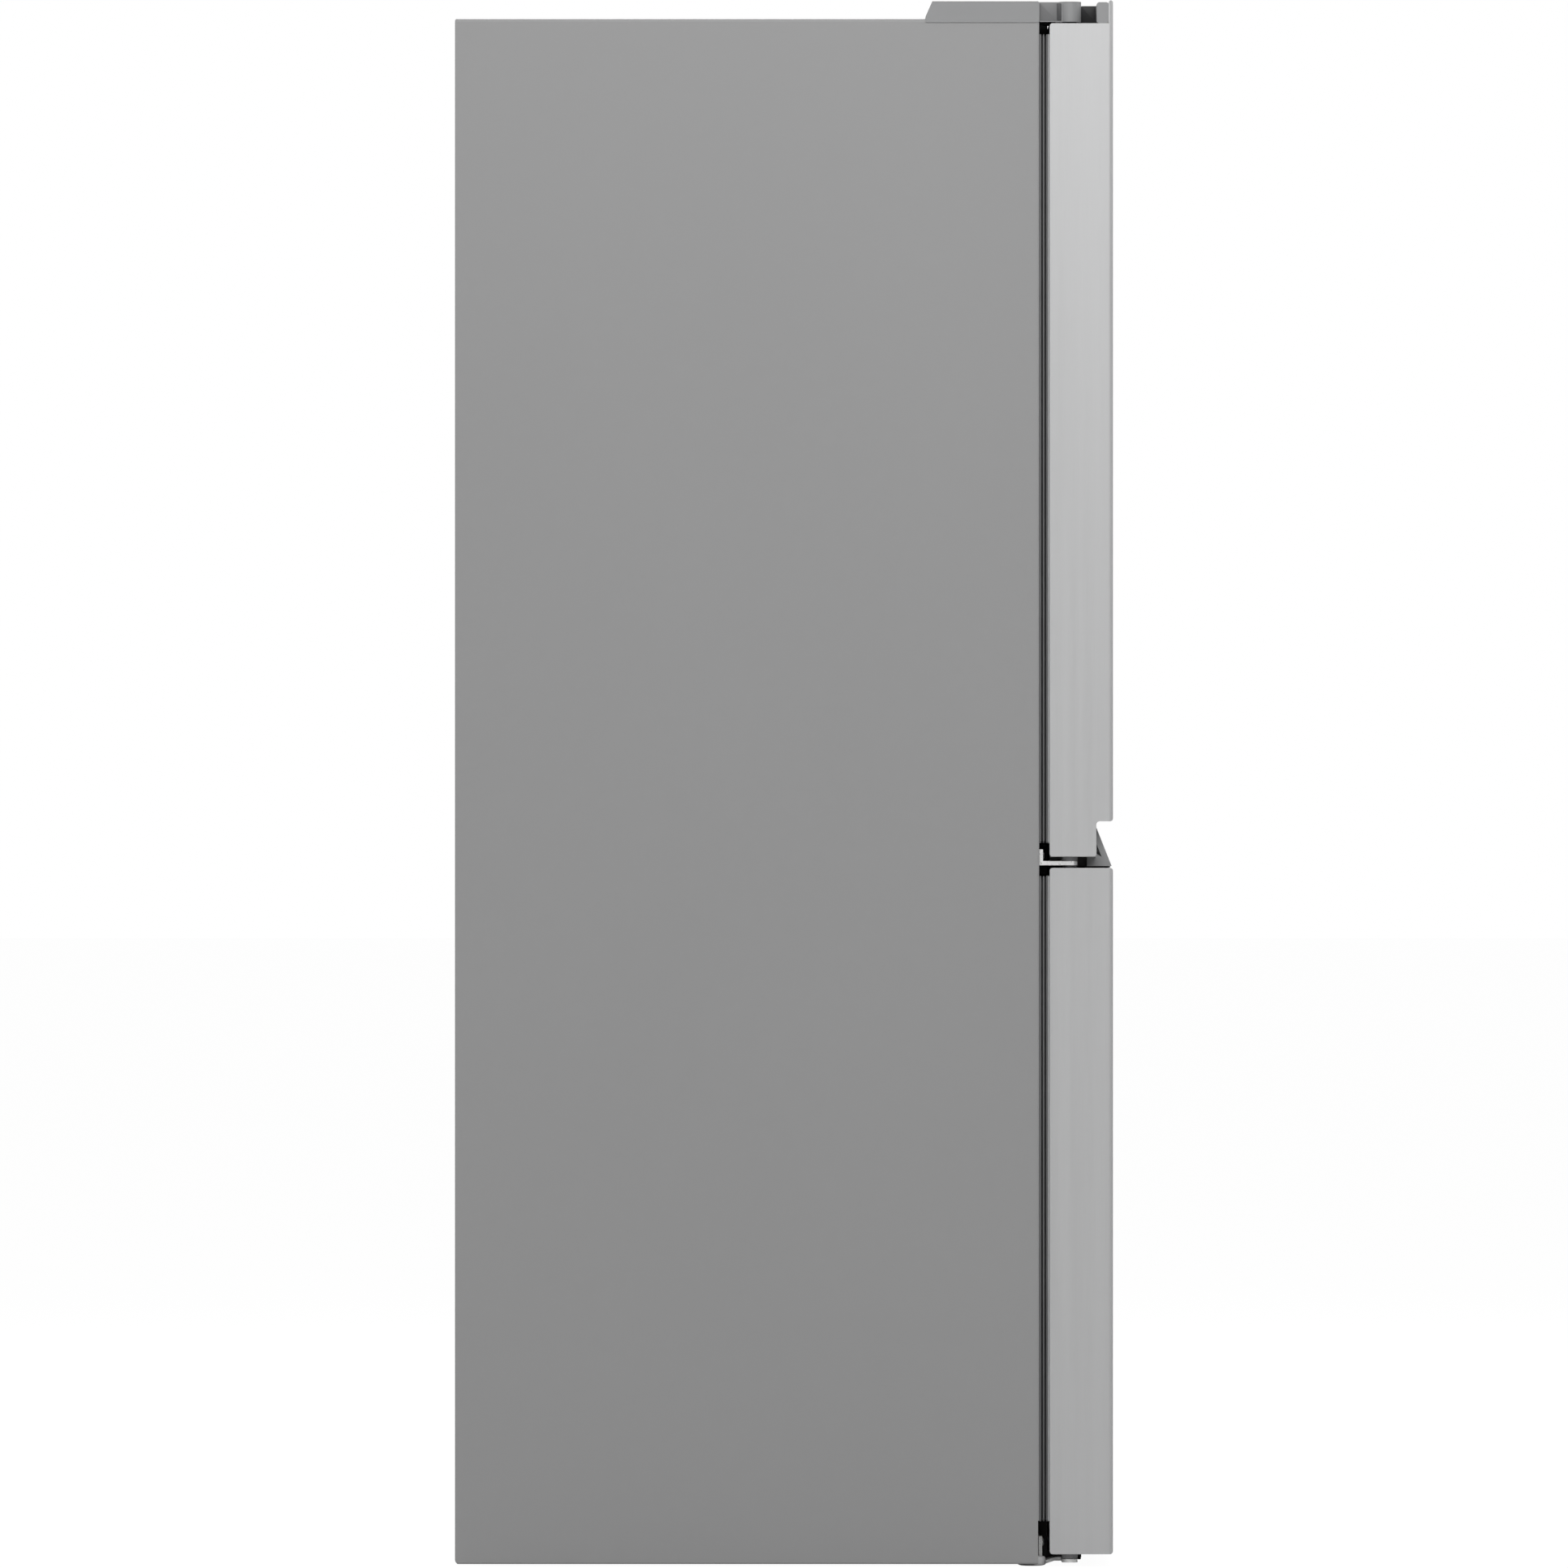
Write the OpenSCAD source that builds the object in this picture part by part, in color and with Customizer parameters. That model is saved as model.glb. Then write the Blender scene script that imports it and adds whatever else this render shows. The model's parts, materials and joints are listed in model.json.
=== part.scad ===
// Four-door refrigerator with the freezer below: two fresh-food doors over two freezer doors.
// Millimetres, +Z up, the doors face -Y. The origin is on the floor under the middle of the
// whole refrigerator. Paired parts are drawn on the +X side and mirrored to the -X side.

/* [Overall] */
// Width across the doors
total_w = 833; // [800:1:910]
// Height of the doors' front lip above the floor
total_h = 1780; // [1775:1:1785]
// Depth of the cabinet from its back to its front edge
cab_d = 664; // [640:1:700]
// Thickness of a door
door_t = 72; // [68:1:80]
// Gap between cabinet and door that the gasket fills
seal_gap = 12; // [11.5:0.5:13]

/* [Doors] */
// Gap between the left and right doors
door_split = 5; // [4:0.5:8]
// Bottom of the lower doors
low_bottom = 14; // [13:0.5:16]
// Top of the lower doors
low_top = 794; // [790:1:795]
// Bottom of the upper doors beside the hinge
up_bottom = 807; // [806:1:810]
// Top of the upper doors behind the lip
up_top = 1754; // [1745:1:1755]
// Depth of the finger notch under the upper doors' fronts
notch_d = 19; // [15:1:24]
// Height of the notch's ceiling
notch_top = 847; // [840:1:860]
// Thickness of the door sheet
sheet = 1; // [0.8:0.1:1.2]

/* [Hinges] */
// Hinge axis from the door's side
pin_in = 18; // [16:1:20]
// Hinge axis behind the door's front
pin_back = 49; // [46:1:52]
// Radius of the hinge pins
pin_r = 5; // [4:0.5:6]
// Radial clearance of a pin in its bore
pin_play = 0.05; // [0.02:0.01:0.1]

/* [Interior] */
// Insulation thickness at the sides
wall_side = 50; // [45:1:55]
// Insulation thickness at the back
wall_back = 60; // [50:1:70]
// Bottom of the fresh-food opening
fresh_lo = 848; // [845:1:852]
// Top of the fresh-food opening
fresh_hi = 1708; // [1690:1:1715]
// Bottom of the freezer opening
freeze_lo = 76; // [74:1:80]
// Top of the freezer opening
freeze_hi = 760; // [755:1:762]
// Width of the centre post and of the freezer's middle wall
post_w = 60; // [56:1:64]
// Number of glass shelves above the crispers
shelf_count = 3; // [2:1:3]
// Number of drawers in each freezer column
drawer_count = 3; // [2:1:3]

/* [Machine compartment] */
// Height of the machine compartment at the back
machine_h = 235; // [225:1:245]
// Depth of the machine compartment
machine_d = 222; // [215:1:230]
// Radius of the rear rollers
roller_r = 20; // [18:1:22]

/* [Hidden] */
$fn = 48;

// Depth stations, from the back to the front
back_y = (cab_d + seal_gap + door_t) / 2;
cab_y = back_y - cab_d;
door_back = cab_y - seal_gap;
door_front = door_back - door_t;
block_y = door_front + notch_d;
pin_y = door_front + pin_back;

// Width stations on the +X side
xo = total_w / 2;
xi = door_split / 2;
pin_x = xo - pin_in;
cab_x = xo - 1.2;
cover_x = xo;
cavity_x = cab_x - wall_side;
post_x = post_w / 2;

// Height stations
cab_bottom = 2;
cab_top = 1759;
cover_top = total_h - 1;
base_z = 60;
pan_z = 24;
wedge_bottom = low_top + 2;
machine_y = back_y - machine_d;

// Sheet and clearances
cab_sheet = 1;
liner_t = 1.5;
small_gap = 0.3;
bore_r = pin_r + pin_play;

// Gasket of a door: width of the ring, its set-back from the door's hinge side and centre side
seal_w = 22;
seal_out = 20.5;
seal_in = 8;
seal_play = 0.5;
up_seal = [822, 1743];
low_seal = [50, 785];

// Set-back of the cap plugs from a door's sides
plug_in = sheet + 0.2;

// Hand pockets in the doors, measured along the width
pocket_x0 = xi + 60;
pocket_x1 = xo - 90;
pocket_up = 38;
pocket_down = 30;
grip_t = 3;

// Dike of a door liner: the raised rim that stands inside the opening
dike_w = 14;
dike_d = 45;
dike_in = 42;
dike_out = 360;

// Colours
steel_c = "gainsboro";
paint_c = "gray";
plastic_c = "darkgray";
black_c = "black";
white_c = "white";
metal_c = "silver";
foam_c = "khaki";
rubber_c = "dimgray";

// ---------- Helpers ----------

// Draws on the +X side for 1 and on the -X side for -1
module on_side(s) { mirror([s < 0 ? 1 : 0, 0, 0]) children(); }

// Box between two corners
module block(a, b) { translate(a) cube(b - a); }

// Extrudes an outline drawn in (Y, Z) along X
module prism_x(x0, x1) { translate([x0, 0, 0]) rotate([90, 0, 90]) linear_extrude(x1 - x0) children(); }

// Extrudes an outline drawn in (X, Z) along Y
module prism_y(y0, y1) { translate([0, y1, 0]) rotate([90, 0, 0]) linear_extrude(y1 - y0) children(); }

// Extrudes an outline drawn in (X, Y) along Z
module prism_z(z0, z1) { translate([0, 0, z0]) linear_extrude(z1 - z0) children(); }

// Rectangle between two corners
module rect(a, b) { translate(a) square(b - a); }

// Rectangle between two corners, with round corners
module rrect(a, b, r) {
    rect([a[0] + r, a[1]], [b[0] - r, b[1]]);
    rect([a[0], a[1] + r], [b[0], b[1] - r]);
    for (x = [a[0] + r, b[0] - r], y = [a[1] + r, b[1] - r]) translate([x, y]) circle(r);
}

// Ring between a rectangle and the same rectangle made smaller by w on each side
module frame_ring(a, b, w) {
    difference() {
        rect(a, b);
        rect(a + [w, w], b - [w, w]);
    }
}

// Upright cylinder at a place
module post(p, r, h) { translate(p) cylinder(r = r, h = h); }

// Open-topped tub with round upright corners
module tub(a, b, wall, r) {
    difference() {
        prism_z(a[2], b[2]) rrect([a[0], a[1]], [b[0], b[1]], r);
        prism_z(a[2] + wall, b[2] + 1)
            rrect([a[0] + wall, a[1] + wall], [b[0] - wall, b[1] - wall], r - wall);
    }
}

// ---------- Doors ----------

// Plan of a door, with rounded upright edges; inset shrinks it on every side
module door_plan(inset) {
    difference() {
        rrect([xi + inset, door_front + inset], [xo - inset, door_back - inset + 6], 5);
        rect([xi - 1, door_back - inset], [xo + 1, door_back + 10]);
    }
}

// Side outline of an upper door, in (Y, Z), with the finger notch at its foot
module upper_outline() {
    rrect([door_front, notch_top], [door_back, up_top], 3.5);
    rrect([block_y, up_bottom], [door_back, notch_top + 20], 3);
    rrect([door_front, up_top - 40], [door_front + 5, total_h], 2.4);
    difference() {
        rect([block_y - 4, notch_top - 4], [block_y, notch_top]);
        translate([block_y - 4, notch_top - 4]) circle(4);
    }
}

// Inside of an upper door's sheet, in (Y, Z)
module upper_hollow() {
    rect([door_front + sheet, notch_top - 1], [door_back - sheet, up_top - 4]);
    rect([block_y - 5, up_bottom - 1], [door_back - sheet, up_top - 4]);
    rect([door_front + 5, up_top - 5], [door_back - sheet, up_top + 1]);
}

module upper_skin(s) {
    color(steel_c) on_side(s) difference() {
        intersection() {
            prism_x(xi, xo) upper_outline();
            prism_z(up_bottom - 1, total_h + 1) door_plan(0);
        }
        intersection() {
            prism_x(xi + sheet, xo - sheet) upper_hollow();
            prism_z(up_bottom - 2, total_h + 2) door_plan(sheet);
        }
        prism_x(xi + 12, xo - 12) rect([door_back - 2, up_bottom - 1], [door_back + 1, up_top + 1]);
    }
}

module lower_skin(s) {
    color(steel_c) on_side(s) difference() {
        intersection() {
            prism_x(xi, xo) rrect([door_front, low_bottom], [door_back, low_top], 3.5);
            prism_z(low_bottom - 1, low_top + 1) door_plan(0);
        }
        intersection() {
            prism_x(xi + sheet, xo - sheet) {
                rect([door_front + sheet, low_bottom + 4], [door_back - sheet, low_top - 4]);
                rect([door_front + 5, low_bottom - 1], [door_back - sheet, low_top + 1]);
            }
            prism_z(low_bottom - 2, low_top + 2) door_plan(sheet);
        }
        prism_x(xi + 12, xo - 12) rect([door_back - 2, low_bottom - 1], [door_back + 1, low_top + 1]);
    }
}

// Outside of a liner's dike, shrunk by t on every wall
module dike(z0, z1, t) {
    prism_y(door_back + liner_t - 2 * t, door_back + liner_t + dike_d - t)
        frame_ring([dike_in + t, z0 + t], [dike_out - t, z1 - t], dike_w - 2 * t);
}

// Insulation in a door: a slab inside the sheet, and the filling of the dike
module door_foam(s, z0, z1, dike_z, cut_lo, cut_hi) {
    color(foam_c) on_side(s) {
        difference() {
            block([xi + sheet, door_front + sheet, z0], [xo - sheet, door_back - sheet, z1]);
            for (side_x = [xi, xo])
                block([side_x - 6.2, door_front - 1, z0 - 1], [side_x + 6.2, door_front + 6, z1 + 1]);
            block([xi, door_front, z0 - 1], [xo, block_y + 4, cut_lo]);
            // Slit between the main block and the front slab
            block([xi, block_y + 4, z0 - 1], [xo, block_y + 4.2, z1 + 1]);
            block([xi, door_front, cut_hi], [xo, block_y + 4, z1 + 1]);
        }
        block([dike_in - 20, door_back - sheet, dike_z[0] - 20],
            [dike_out + 20, door_back, dike_z[1] + 20]);
        dike(dike_z[0], dike_z[1], liner_t);
    }
}

module upper_foam(s) { door_foam(s, up_foam[0], up_foam[1], up_dike, up_cut[0], up_cut[1]); }

module lower_foam(s) { door_foam(s, low_foam[0], low_foam[1], low_dike, low_cut[0], low_cut[1]); }

// Moulded inner panel of a door, with its dike and bin ledges
module door_liner(s, seal_z, dike_z, ledges) {
    color(white_c) on_side(s) {
        difference() {
            union() {
                block([xi + seal_in, door_back, seal_z[0]],
                    [xo - seal_out, door_back + liner_t, seal_z[1]]);
                dike(dike_z[0], dike_z[1], 0);
            }
            dike(dike_z[0], dike_z[1], liner_t);
        }
        for (z = ledges, x = [dike_in + dike_w, dike_out - dike_w - 1.5])
            block([x, door_back + liner_t + 10, z - 12],
                [x + 1.5, door_back + liner_t + dike_d - 6, z - small_gap]);
    }
}

// Magnetic gasket: three ribs with two grooves between them
module door_gasket(s, seal_z) {
    y0 = door_back + liner_t;
    y1 = cab_y - seal_play;
    ribs = 5;
    step = (y1 - y0) / ribs;
    a = [xi + seal_in, seal_z[0]];
    b = [xo - seal_out, seal_z[1]];
    color(rubber_c) on_side(s) for (i = [0 : ribs - 1]) {
        inset = i % 2 == 0 ? 0 : 4;
        prism_y(y0 + i * step, y0 + (i + 1) * step)
            frame_ring(a + [inset, inset], b - [inset, inset], seal_w - 2 * inset);
    }
}

// Bore for a hinge pin
module pin_bore(z0, z1) { post([pin_x, pin_y, z0], bore_r, z1 - z0); }

// Top and bottom caps of an upper door
module upper_caps(s) {
    color(plastic_c) on_side(s) {
        // Top cap: plug, front lip, raised rib behind it and boss for the hinge pin
        difference() {
            union() {
                block([xi + plug_in, door_front + 5, up_top - 10],
                    [xo - plug_in, door_back - sheet, up_top - 0.5]);
                prism_x(xi, xo - 0.5)
                    rrect([door_front + 5, up_top + 0.1], [block_y - 0.5, total_h - 2], 3);
                block([xi + 2, door_front + 5, up_top - 6], [xo - 2, block_y - 3, up_top + 8]);
                block([xi + 1, block_y - 4, up_top - 2], [pin_x - 32, block_y + 16, total_h - 4]);
                post([pin_x, pin_y, up_top - 28], 12, 27);
            }
            pin_bore(up_top - 24, up_top + 1);
        }
        // Bottom cap: plug with the collar that rides on the middle hinge, notch ceiling and grip
        difference() {
            union() {
                block([xi + sheet, block_y, up_bottom - 0.5],
                    [xo - sheet, door_back - sheet, up_bottom + 18]);
                block([xi + sheet, block_y - 0.01, up_bottom + 4],
                    [xo - sheet, block_y + 3, notch_top + pocket_up + 6]);
                block([xi + sheet, door_front + sheet, notch_top + 0.5],
                    [xo - sheet, block_y + 1, notch_top + pocket_up + 6]);
                block([xi + sheet, block_y, wedge_bottom], [xo - 58, door_back - sheet, up_bottom]);
                post([pin_x, pin_y, up_bottom - 5], 9, 8);
                post([pin_x, pin_y, up_bottom], 12, 24);
            }
            pin_bore(up_bottom - 6, up_bottom + 20);
            block([pocket_x0, door_front + sheet + grip_t, notch_top - 1],
                  [pocket_x1, block_y - 2, notch_top + pocket_up]);
            for (side_x = [xi + sheet, xo - sheet])
                translate([side_x, door_front + sheet, notch_top - 1]) rotate([0, 0, 45])
                    translate([-4, -4, 0]) cube([8, 8, 60]);
        }
        // Slanted grip shells at both ends of the finger notch
        for (x = [[xi + 1, pocket_x0], [pocket_x1, xo - 26]]) prism_x(x[0], x[1]) grip_outline();
    }
}

// Slanted shell under the finger notch, in (Y, Z)
module grip_outline() {
    y0 = block_y + 0.2;
    difference() {
        polygon([
            [y0, notch_top - 5],
            [y0, up_bottom - 0.5],
            [block_y + 10, up_bottom - 0.5],
            [block_y + 10, wedge_bottom],
            [door_front + 1, wedge_bottom]
        ]);
        polygon([[block_y - 1, up_bottom + 14], [block_y - 1, up_bottom + 3],
            [block_y - 6.5, up_bottom - 0.5]]);
    }
}

// Top and bottom caps of a lower door
module lower_caps(s) {
    color(plastic_c) on_side(s) {
        // Top cap with the grip groove behind the door's front
        difference() {
            union() {
                block([xi + plug_in, door_front + 5, low_top - 12],
                    [xo - plug_in, door_back - sheet, low_top - 0.3]);
                block([pocket_x0 - 3, door_front + 5, low_top - pocket_down - 3],
                    [pocket_x1 + 3, block_y + 3.8, low_top - 1]);
                post([pin_x, pin_y, low_top - 28], 12, 27);
            }
            pin_bore(low_top - 24, low_top + 1);
            block([pocket_x0, door_front + 8, low_top - pocket_down],
                [pocket_x1, block_y + 1, low_top + 1]);
        }
        // Bottom cap with the collar that rides on the bottom hinge
        difference() {
            union() {
                block([xi + plug_in, door_front + 5, low_bottom + 0.3],
                    [xo - plug_in, door_back - sheet, low_bottom + 14]);
                post([pin_x, pin_y, low_bottom - 5.5], 9, 8);
                post([pin_x, pin_y, low_bottom + 1], 12, 26);
            }
            pin_bore(low_bottom - 6, low_bottom + 23);
        }
    }
}

// Bins of an upper door: clear tubs between the dike's walls
bin_z = [884, 1160, 1430];
bin_h = 96;
bin_wall = 3;
bin_x0 = dike_in + dike_w + 2;
bin_x1 = dike_out - dike_w - 2;
bin_y0 = door_back + liner_t + 1;
bin_y1 = door_back + 107;

module door_bins(s) {
    color("lightblue") on_side(s) for (z = bin_z) difference() {
        tub([bin_x0, bin_y0, z], [bin_x1, bin_y1, z + bin_h], bin_wall, 12);
        block([bin_x0 + 20, bin_y0 - 1, z + 30], [bin_x1 - 20, bin_y0 + bin_wall + 1, z + bin_h + 1]);
    }
}

// ---------- Cabinet ----------

// Painted sheet over both sides and the top, with a rounded rear and side edge
module cabinet_wrapper() {
    color(paint_c) difference() {
        intersection() {
            prism_y(cab_y + 1.3, back_y) rrect([-cab_x, cab_bottom], [cab_x, cab_top], 3);
            prism_x(-cab_x - 1, cab_x + 1) wrapper_outline();
        }
        prism_y(cab_y, back_y + 1)
            rrect([-cab_x + cab_sheet, cab_bottom - 9], [cab_x - cab_sheet, cab_top - cab_sheet], 0.8);
    }
}

// Side outline of the wrapper, in (Y, Z), with round corners at the back
module wrapper_outline() {
    low_r = 6;
    top_r = 2.5;
    rect([cab_y, cab_bottom], [back_y - low_r, cab_top - top_r]);
    rect([cab_y, cab_bottom + low_r], [back_y, cab_top - top_r]);
    rect([cab_y, cab_top - 10], [back_y - top_r, cab_top]);
    translate([back_y - low_r, cab_bottom + low_r]) circle(low_r);
    translate([back_y - top_r, cab_top - top_r]) circle(top_r);
}

module back_panel() {
    color(metal_c) block([-cab_x + 2, back_y - 2.2, machine_h], [cab_x - 2, back_y - 1.2, cab_top - 2]);
}

// One insulation block with the fresh-food and freezer cavities
module cabinet_foam() {
    fx = cavity_x;
    color(foam_c) difference() {
        block([-cab_x + 1.4, cab_y + 1.6, base_z], [cab_x - 1.4, back_y - 2.4, cab_top - 1.4]);
        block([-fx, cab_y, fresh_lo], [fx, back_y - wall_back, fresh_hi]);
        block([-fx, cab_y, freeze_lo], [fx, machine_y - 40, freeze_hi]);
        block([-fx, cab_y, machine_h + 45], [fx, back_y - wall_back, freeze_hi]);
        block([-cab_x, machine_y, 0], [cab_x, back_y + 1, machine_h]);
    }
}

module fridge_liner() {
    fx = cavity_x - 0.2;
    z0 = fresh_lo + 0.2;
    z1 = fresh_hi - 0.2;
    y1 = back_y - wall_back - 0.2;
    color(white_c) {
        difference() {
            block([-fx, cab_y + 1.6, z0], [fx, y1, z1]);
            block([-fx + liner_t, cab_y, z0 + liner_t], [fx - liner_t, y1 - liner_t, z1 - liner_t]);
        }
        for (sx = [-1, 1], z = shelf_z)
            on_side(sx) block([fx - 12, shelf_y0 + 17, z - 9], [fx - 1, shelf_y1 - 15, z - small_gap]);
    }
}

module freezer_liner() {
    fx = cavity_x - 0.2;
    z0 = freeze_lo + 0.2;
    z1 = freeze_hi - 0.2;
    step_z = machine_h + 45.2;
    step_y = machine_y - 40.2;
    y1 = back_y - wall_back - 0.2;
    color(white_c) difference() {
        prism_x(-fx, fx) polygon([[cab_y + 1.6, z0], [step_y, z0], [step_y, step_z], [y1, step_z],
                                  [y1, z1], [cab_y + 1.6, z1]]);
        prism_x(-fx + liner_t, fx - liner_t)
            polygon([[cab_y, z0 + liner_t], [step_y - liner_t, z0 + liner_t],
            [step_y - liner_t, step_z + liner_t], [y1 - liner_t, step_z + liner_t],
            [y1 - liner_t, z1 - liner_t], [cab_y, z1 - liner_t]]);
    }
}

// Painted front frame round the two openings, with a rail between them
module front_frame() {
    fx = cavity_x - 2;
    color(paint_c) prism_y(cab_y, cab_y + 1.2) difference() {
        rect([-cab_x + 0.1, base_z - 8], [cab_x - 0.1, cab_top - 0.2]);
        rect([-fx, fresh_lo + 2], [fx, fresh_hi - 2]);
        rect([-fx, freeze_lo + 2], [fx, freeze_hi - 2]);
    }
}

// Upright centre post of the fresh-food opening and middle wall of the freezer
module centre_dividers() {
    gap = liner_t + 0.4;
    color(white_c) {
        prism_z(fresh_lo + gap, fresh_hi - gap) rrect([-post_x, cab_y + 1.4], [post_x, cab_y + 50], 2);
        difference() {
            block([-post_x, cab_y + 1.4, freeze_lo + gap],
                [post_x, back_y - wall_back - gap, freeze_hi - gap]);
            block([-post_x - 1, machine_y - 42.2, 0], [post_x + 1, back_y, machine_h + 47.2]);
            block([-post_x - 1, cover_y - 1, 0], [post_x + 1, back_y, freeze_hi]);
        }
    }
}

// Steel bottom: floor of the freezer, riser, machine pan, rear axles and front foot nuts
module base_pan() {
    color(metal_c) {
        difference() {
            union() {
                prism_x(-cab_x + 1.4, cab_x - 1.4) polygon([
                    [cab_y + 1.6, base_z - 1.6], [machine_y - 0.5, base_z - 1.6], [machine_y - 0.5, pan_z],
                    [back_y - 3, pan_z], [back_y - 3, pan_z + 1.4], [machine_y + 0.9, pan_z + 1.4],
                    [machine_y + 0.9, base_z - 0.2], [cab_y + 1.6, base_z - 0.2]]);
                block([-cab_x + 1.4, cab_y + 1.6, 30], [cab_x - 1.4, cab_y + 42, base_z - 1.5]);
            }
            for (s = [-1, 1]) on_side(s) {
                post([foot_x, foot_y, 20], 5.05, base_z - 25);
                block([roller_x - 16, roller_y - roller_r - 3, pan_z - 1],
                    [roller_x + 16, roller_y + roller_r + 3, 30]);
            }
        }
        for (s = [-1, 1]) on_side(s) {
            for (x = [roller_x - 20, roller_x + 17])
                prism_x(x, x + 3) rrect([roller_y - 12, roller_r - 8], [roller_y + 12, pan_z + 0.5], 4);
            translate([roller_x - 19, roller_y, roller_r]) rotate([0, 90, 0]) cylinder(r = 4, h = 38);
        }
    }
}

roller_x = cab_x - 60;
roller_y = back_y - 50;
foot_x = xo - 28;
foot_y = cab_y + 8;
foot_r = 16;

module roller(s) {
    color(black_c) on_side(s) translate([roller_x - 14, roller_y, roller_r]) rotate([0, 90, 0])
        rotate_extrude() rrect([4.05, 0], [roller_r, 28], 2);
}

// Levelling foot: a round pad on a threaded stem
module foot(s) {
    color("lightgray") on_side(s) translate([foot_x, foot_y, 0]) {
        rotate_extrude() rrect_half(foot_r, 10.5, 3);
        cylinder(r = 5, h = 52);
    }
}

// Half of a disc's section, in (R, Z)
module rrect_half(r, h, edge) {
    intersection() {
        rrect([-r, 0], [r, h], edge);
        rect([0, 0], [r, h]);
    }
}

// Black kick grille under the cabinet's front, with an air guide under the doors
module toe_grille() {
    x1 = xo - 96;
    guide_top = low_bottom - 1.5;
    color(black_c) difference() {
        union() {
            block([-x1, cab_y - 11, 5], [x1, cab_y + 1, base_z - 10]);
            block([-x1, cab_y - 50, guide_top - 3], [x1, cab_y - 7, guide_top]);
            block([-x1, cab_y - 50, 5], [x1, cab_y - 47, guide_top]);
        }
        block([-x1 + 3, cab_y - 7, 1], [x1 - 3, cab_y + 2, base_z - 13]);
        for (i = [-11 : 11]) block([i * 28 - 10, cab_y - 12, 16], [i * 28 + 10, cab_y - 6, 34]);
    }
}

// Black strips that close the gap above and between the doors
module trim_strips() {
    color(black_c) {
        prism_x(-xo + 100, xo - 100) rrect([cab_y - 11.4, up_seal[1] + 0.8], [cab_y, cab_top - 0.4], 2);
        prism_x(-xo + 100, xo - 100) rrect([cab_y - 11.4, low_seal[1] + 0.8], [cab_y, up_seal[0] - 0.8], 2);
    }
}

// ---------- Hinges ----------

arm_t = 4.7;
arm_low_z = 4;

// Plan of a hinge arm: a boss round the pin and a plate back to the cabinet
module arm_plan(x0, x1, y_back) {
    translate([pin_x, pin_y]) circle(9);
    rect([x0, pin_y - 5], [pin_x, pin_y + 9]);
    rect([x0, pin_y - 5], [x1, y_back]);
}

module top_hinges() {
    color(metal_c) for (s = [-1, 1]) on_side(s) {
        difference() {
            prism_z(cab_top + 0.2, cab_top + 4) arm_plan(xo - 84, xo - 12, cab_y + 90);
            for (y = [cab_y + 30, cab_y + 70], x = [xo - 70, xo - 30]) post([x, y, cab_top - 1], 3.2, 10);
        }
        post([pin_x, pin_y, up_top - 20], pin_r, cab_top + 4 - up_top + 20);
    }
}

module middle_hinges() {
    z0 = 797;
    color(metal_c) for (s = [-1, 1]) on_side(s) {
        difference() {
            union() {
                prism_z(z0, z0 + arm_t) arm_plan(xo - 52, xo - 8, cab_y - small_gap);
                block([xo - 76, cab_y - 4.5, z0], [xo - 8, cab_y - small_gap, z0 + 18]);
            }
            for (x = [xo - 66, xo - 46]) translate([x, cab_y + 1, z0 + 11]) rotate([90, 0, 0])
                cylinder(r = 2.6, h = 8);
        }
        post([pin_x, pin_y, z0 - 20], pin_r, 20 + arm_t + 20);
    }
}

// Side outline of the bottom hinge's plate, in (Y, Z)
module low_hinge_outline() {
    polygon([
        [cab_y - 0.3, 0.6], [cab_y - 8, 0.6], [cab_y - 18, arm_low_z], [pin_y - 9, arm_low_z],
        [pin_y - 9, arm_low_z + 4], [cab_y - 19, arm_low_z + 4], [cab_y - 9, 4.6], [cab_y - 4.3, 4.6],
        [cab_y - 4.3, 32], [cab_y - 0.3, 32]
    ]);
}

module bottom_hinges() {
    color(metal_c) for (s = [-1, 1]) on_side(s) {
        difference() {
            intersection() {
                prism_x(xo - 92, xo) low_hinge_outline();
                prism_z(0, 40) arm_plan(xo - 92, xo - 46, cab_y + 1);
            }
            for (x = [xo - 82, xo - 56]) translate([x, cab_y + 1, 24.5]) rotate([90, 0, 0])
                cylinder(r = 2.6, h = 8);
        }
        post([pin_x, pin_y, arm_low_z], pin_r, 30);
    }
}

// Cover over a top hinge: a long shell with a neck and a round boss over the pin
module hinge_covers() {
    color(paint_c) for (s = [-1, 1]) on_side(s) difference() {
        union() {
            prism_x(xo - 96, cover_x) cover_outline();
            block([xo - 90, pin_y, cab_top - 3], [xo - 8, cab_y + 2, cover_top - 0.5]);
            post([pin_x, pin_y, cab_top - 3], 13, cover_top - cab_top + 3);
            block([xo - 90, pin_y - 8, cab_top - 3], [pin_x, pin_y + 2, cover_top - 1]);
        }
        // Space for the hinge, open below
        block([xo - 94, cab_y + 1, cab_top - 20], [cover_x - 0.9, cab_y + 126, cover_top - 2]);
        block([xo - 88, pin_y - 6, cab_top - 20], [pin_x, cab_y + 2, cover_top - 2.5]);
        block([pin_x - 1, pin_y + 2, cab_top - 20], [xo - 10, cab_y + 2, cover_top - 2.5]);
        post([pin_x, pin_y, cab_top - 20], 11, cover_top - cab_top + 17.5);
        block([xo - 200, cab_y - 0.3, 0], [cab_x + 0.2, back_y, cab_top + 0.2]);
    }
}

// Side outline of a hinge cover, in (Y, Z), with a slanted rear end
module cover_outline() {
    intersection() {
        rrect([cab_y, cab_top - 4], [cab_y + 140, cover_top], 2);
        polygon([[cab_y - 1, 0], [cab_y + 129, 0], [cab_y + 129, cab_top + 3], [cab_y + 121, cover_top + 1],
                 [cab_y - 1, cover_top + 1]]);
    }
}

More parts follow.
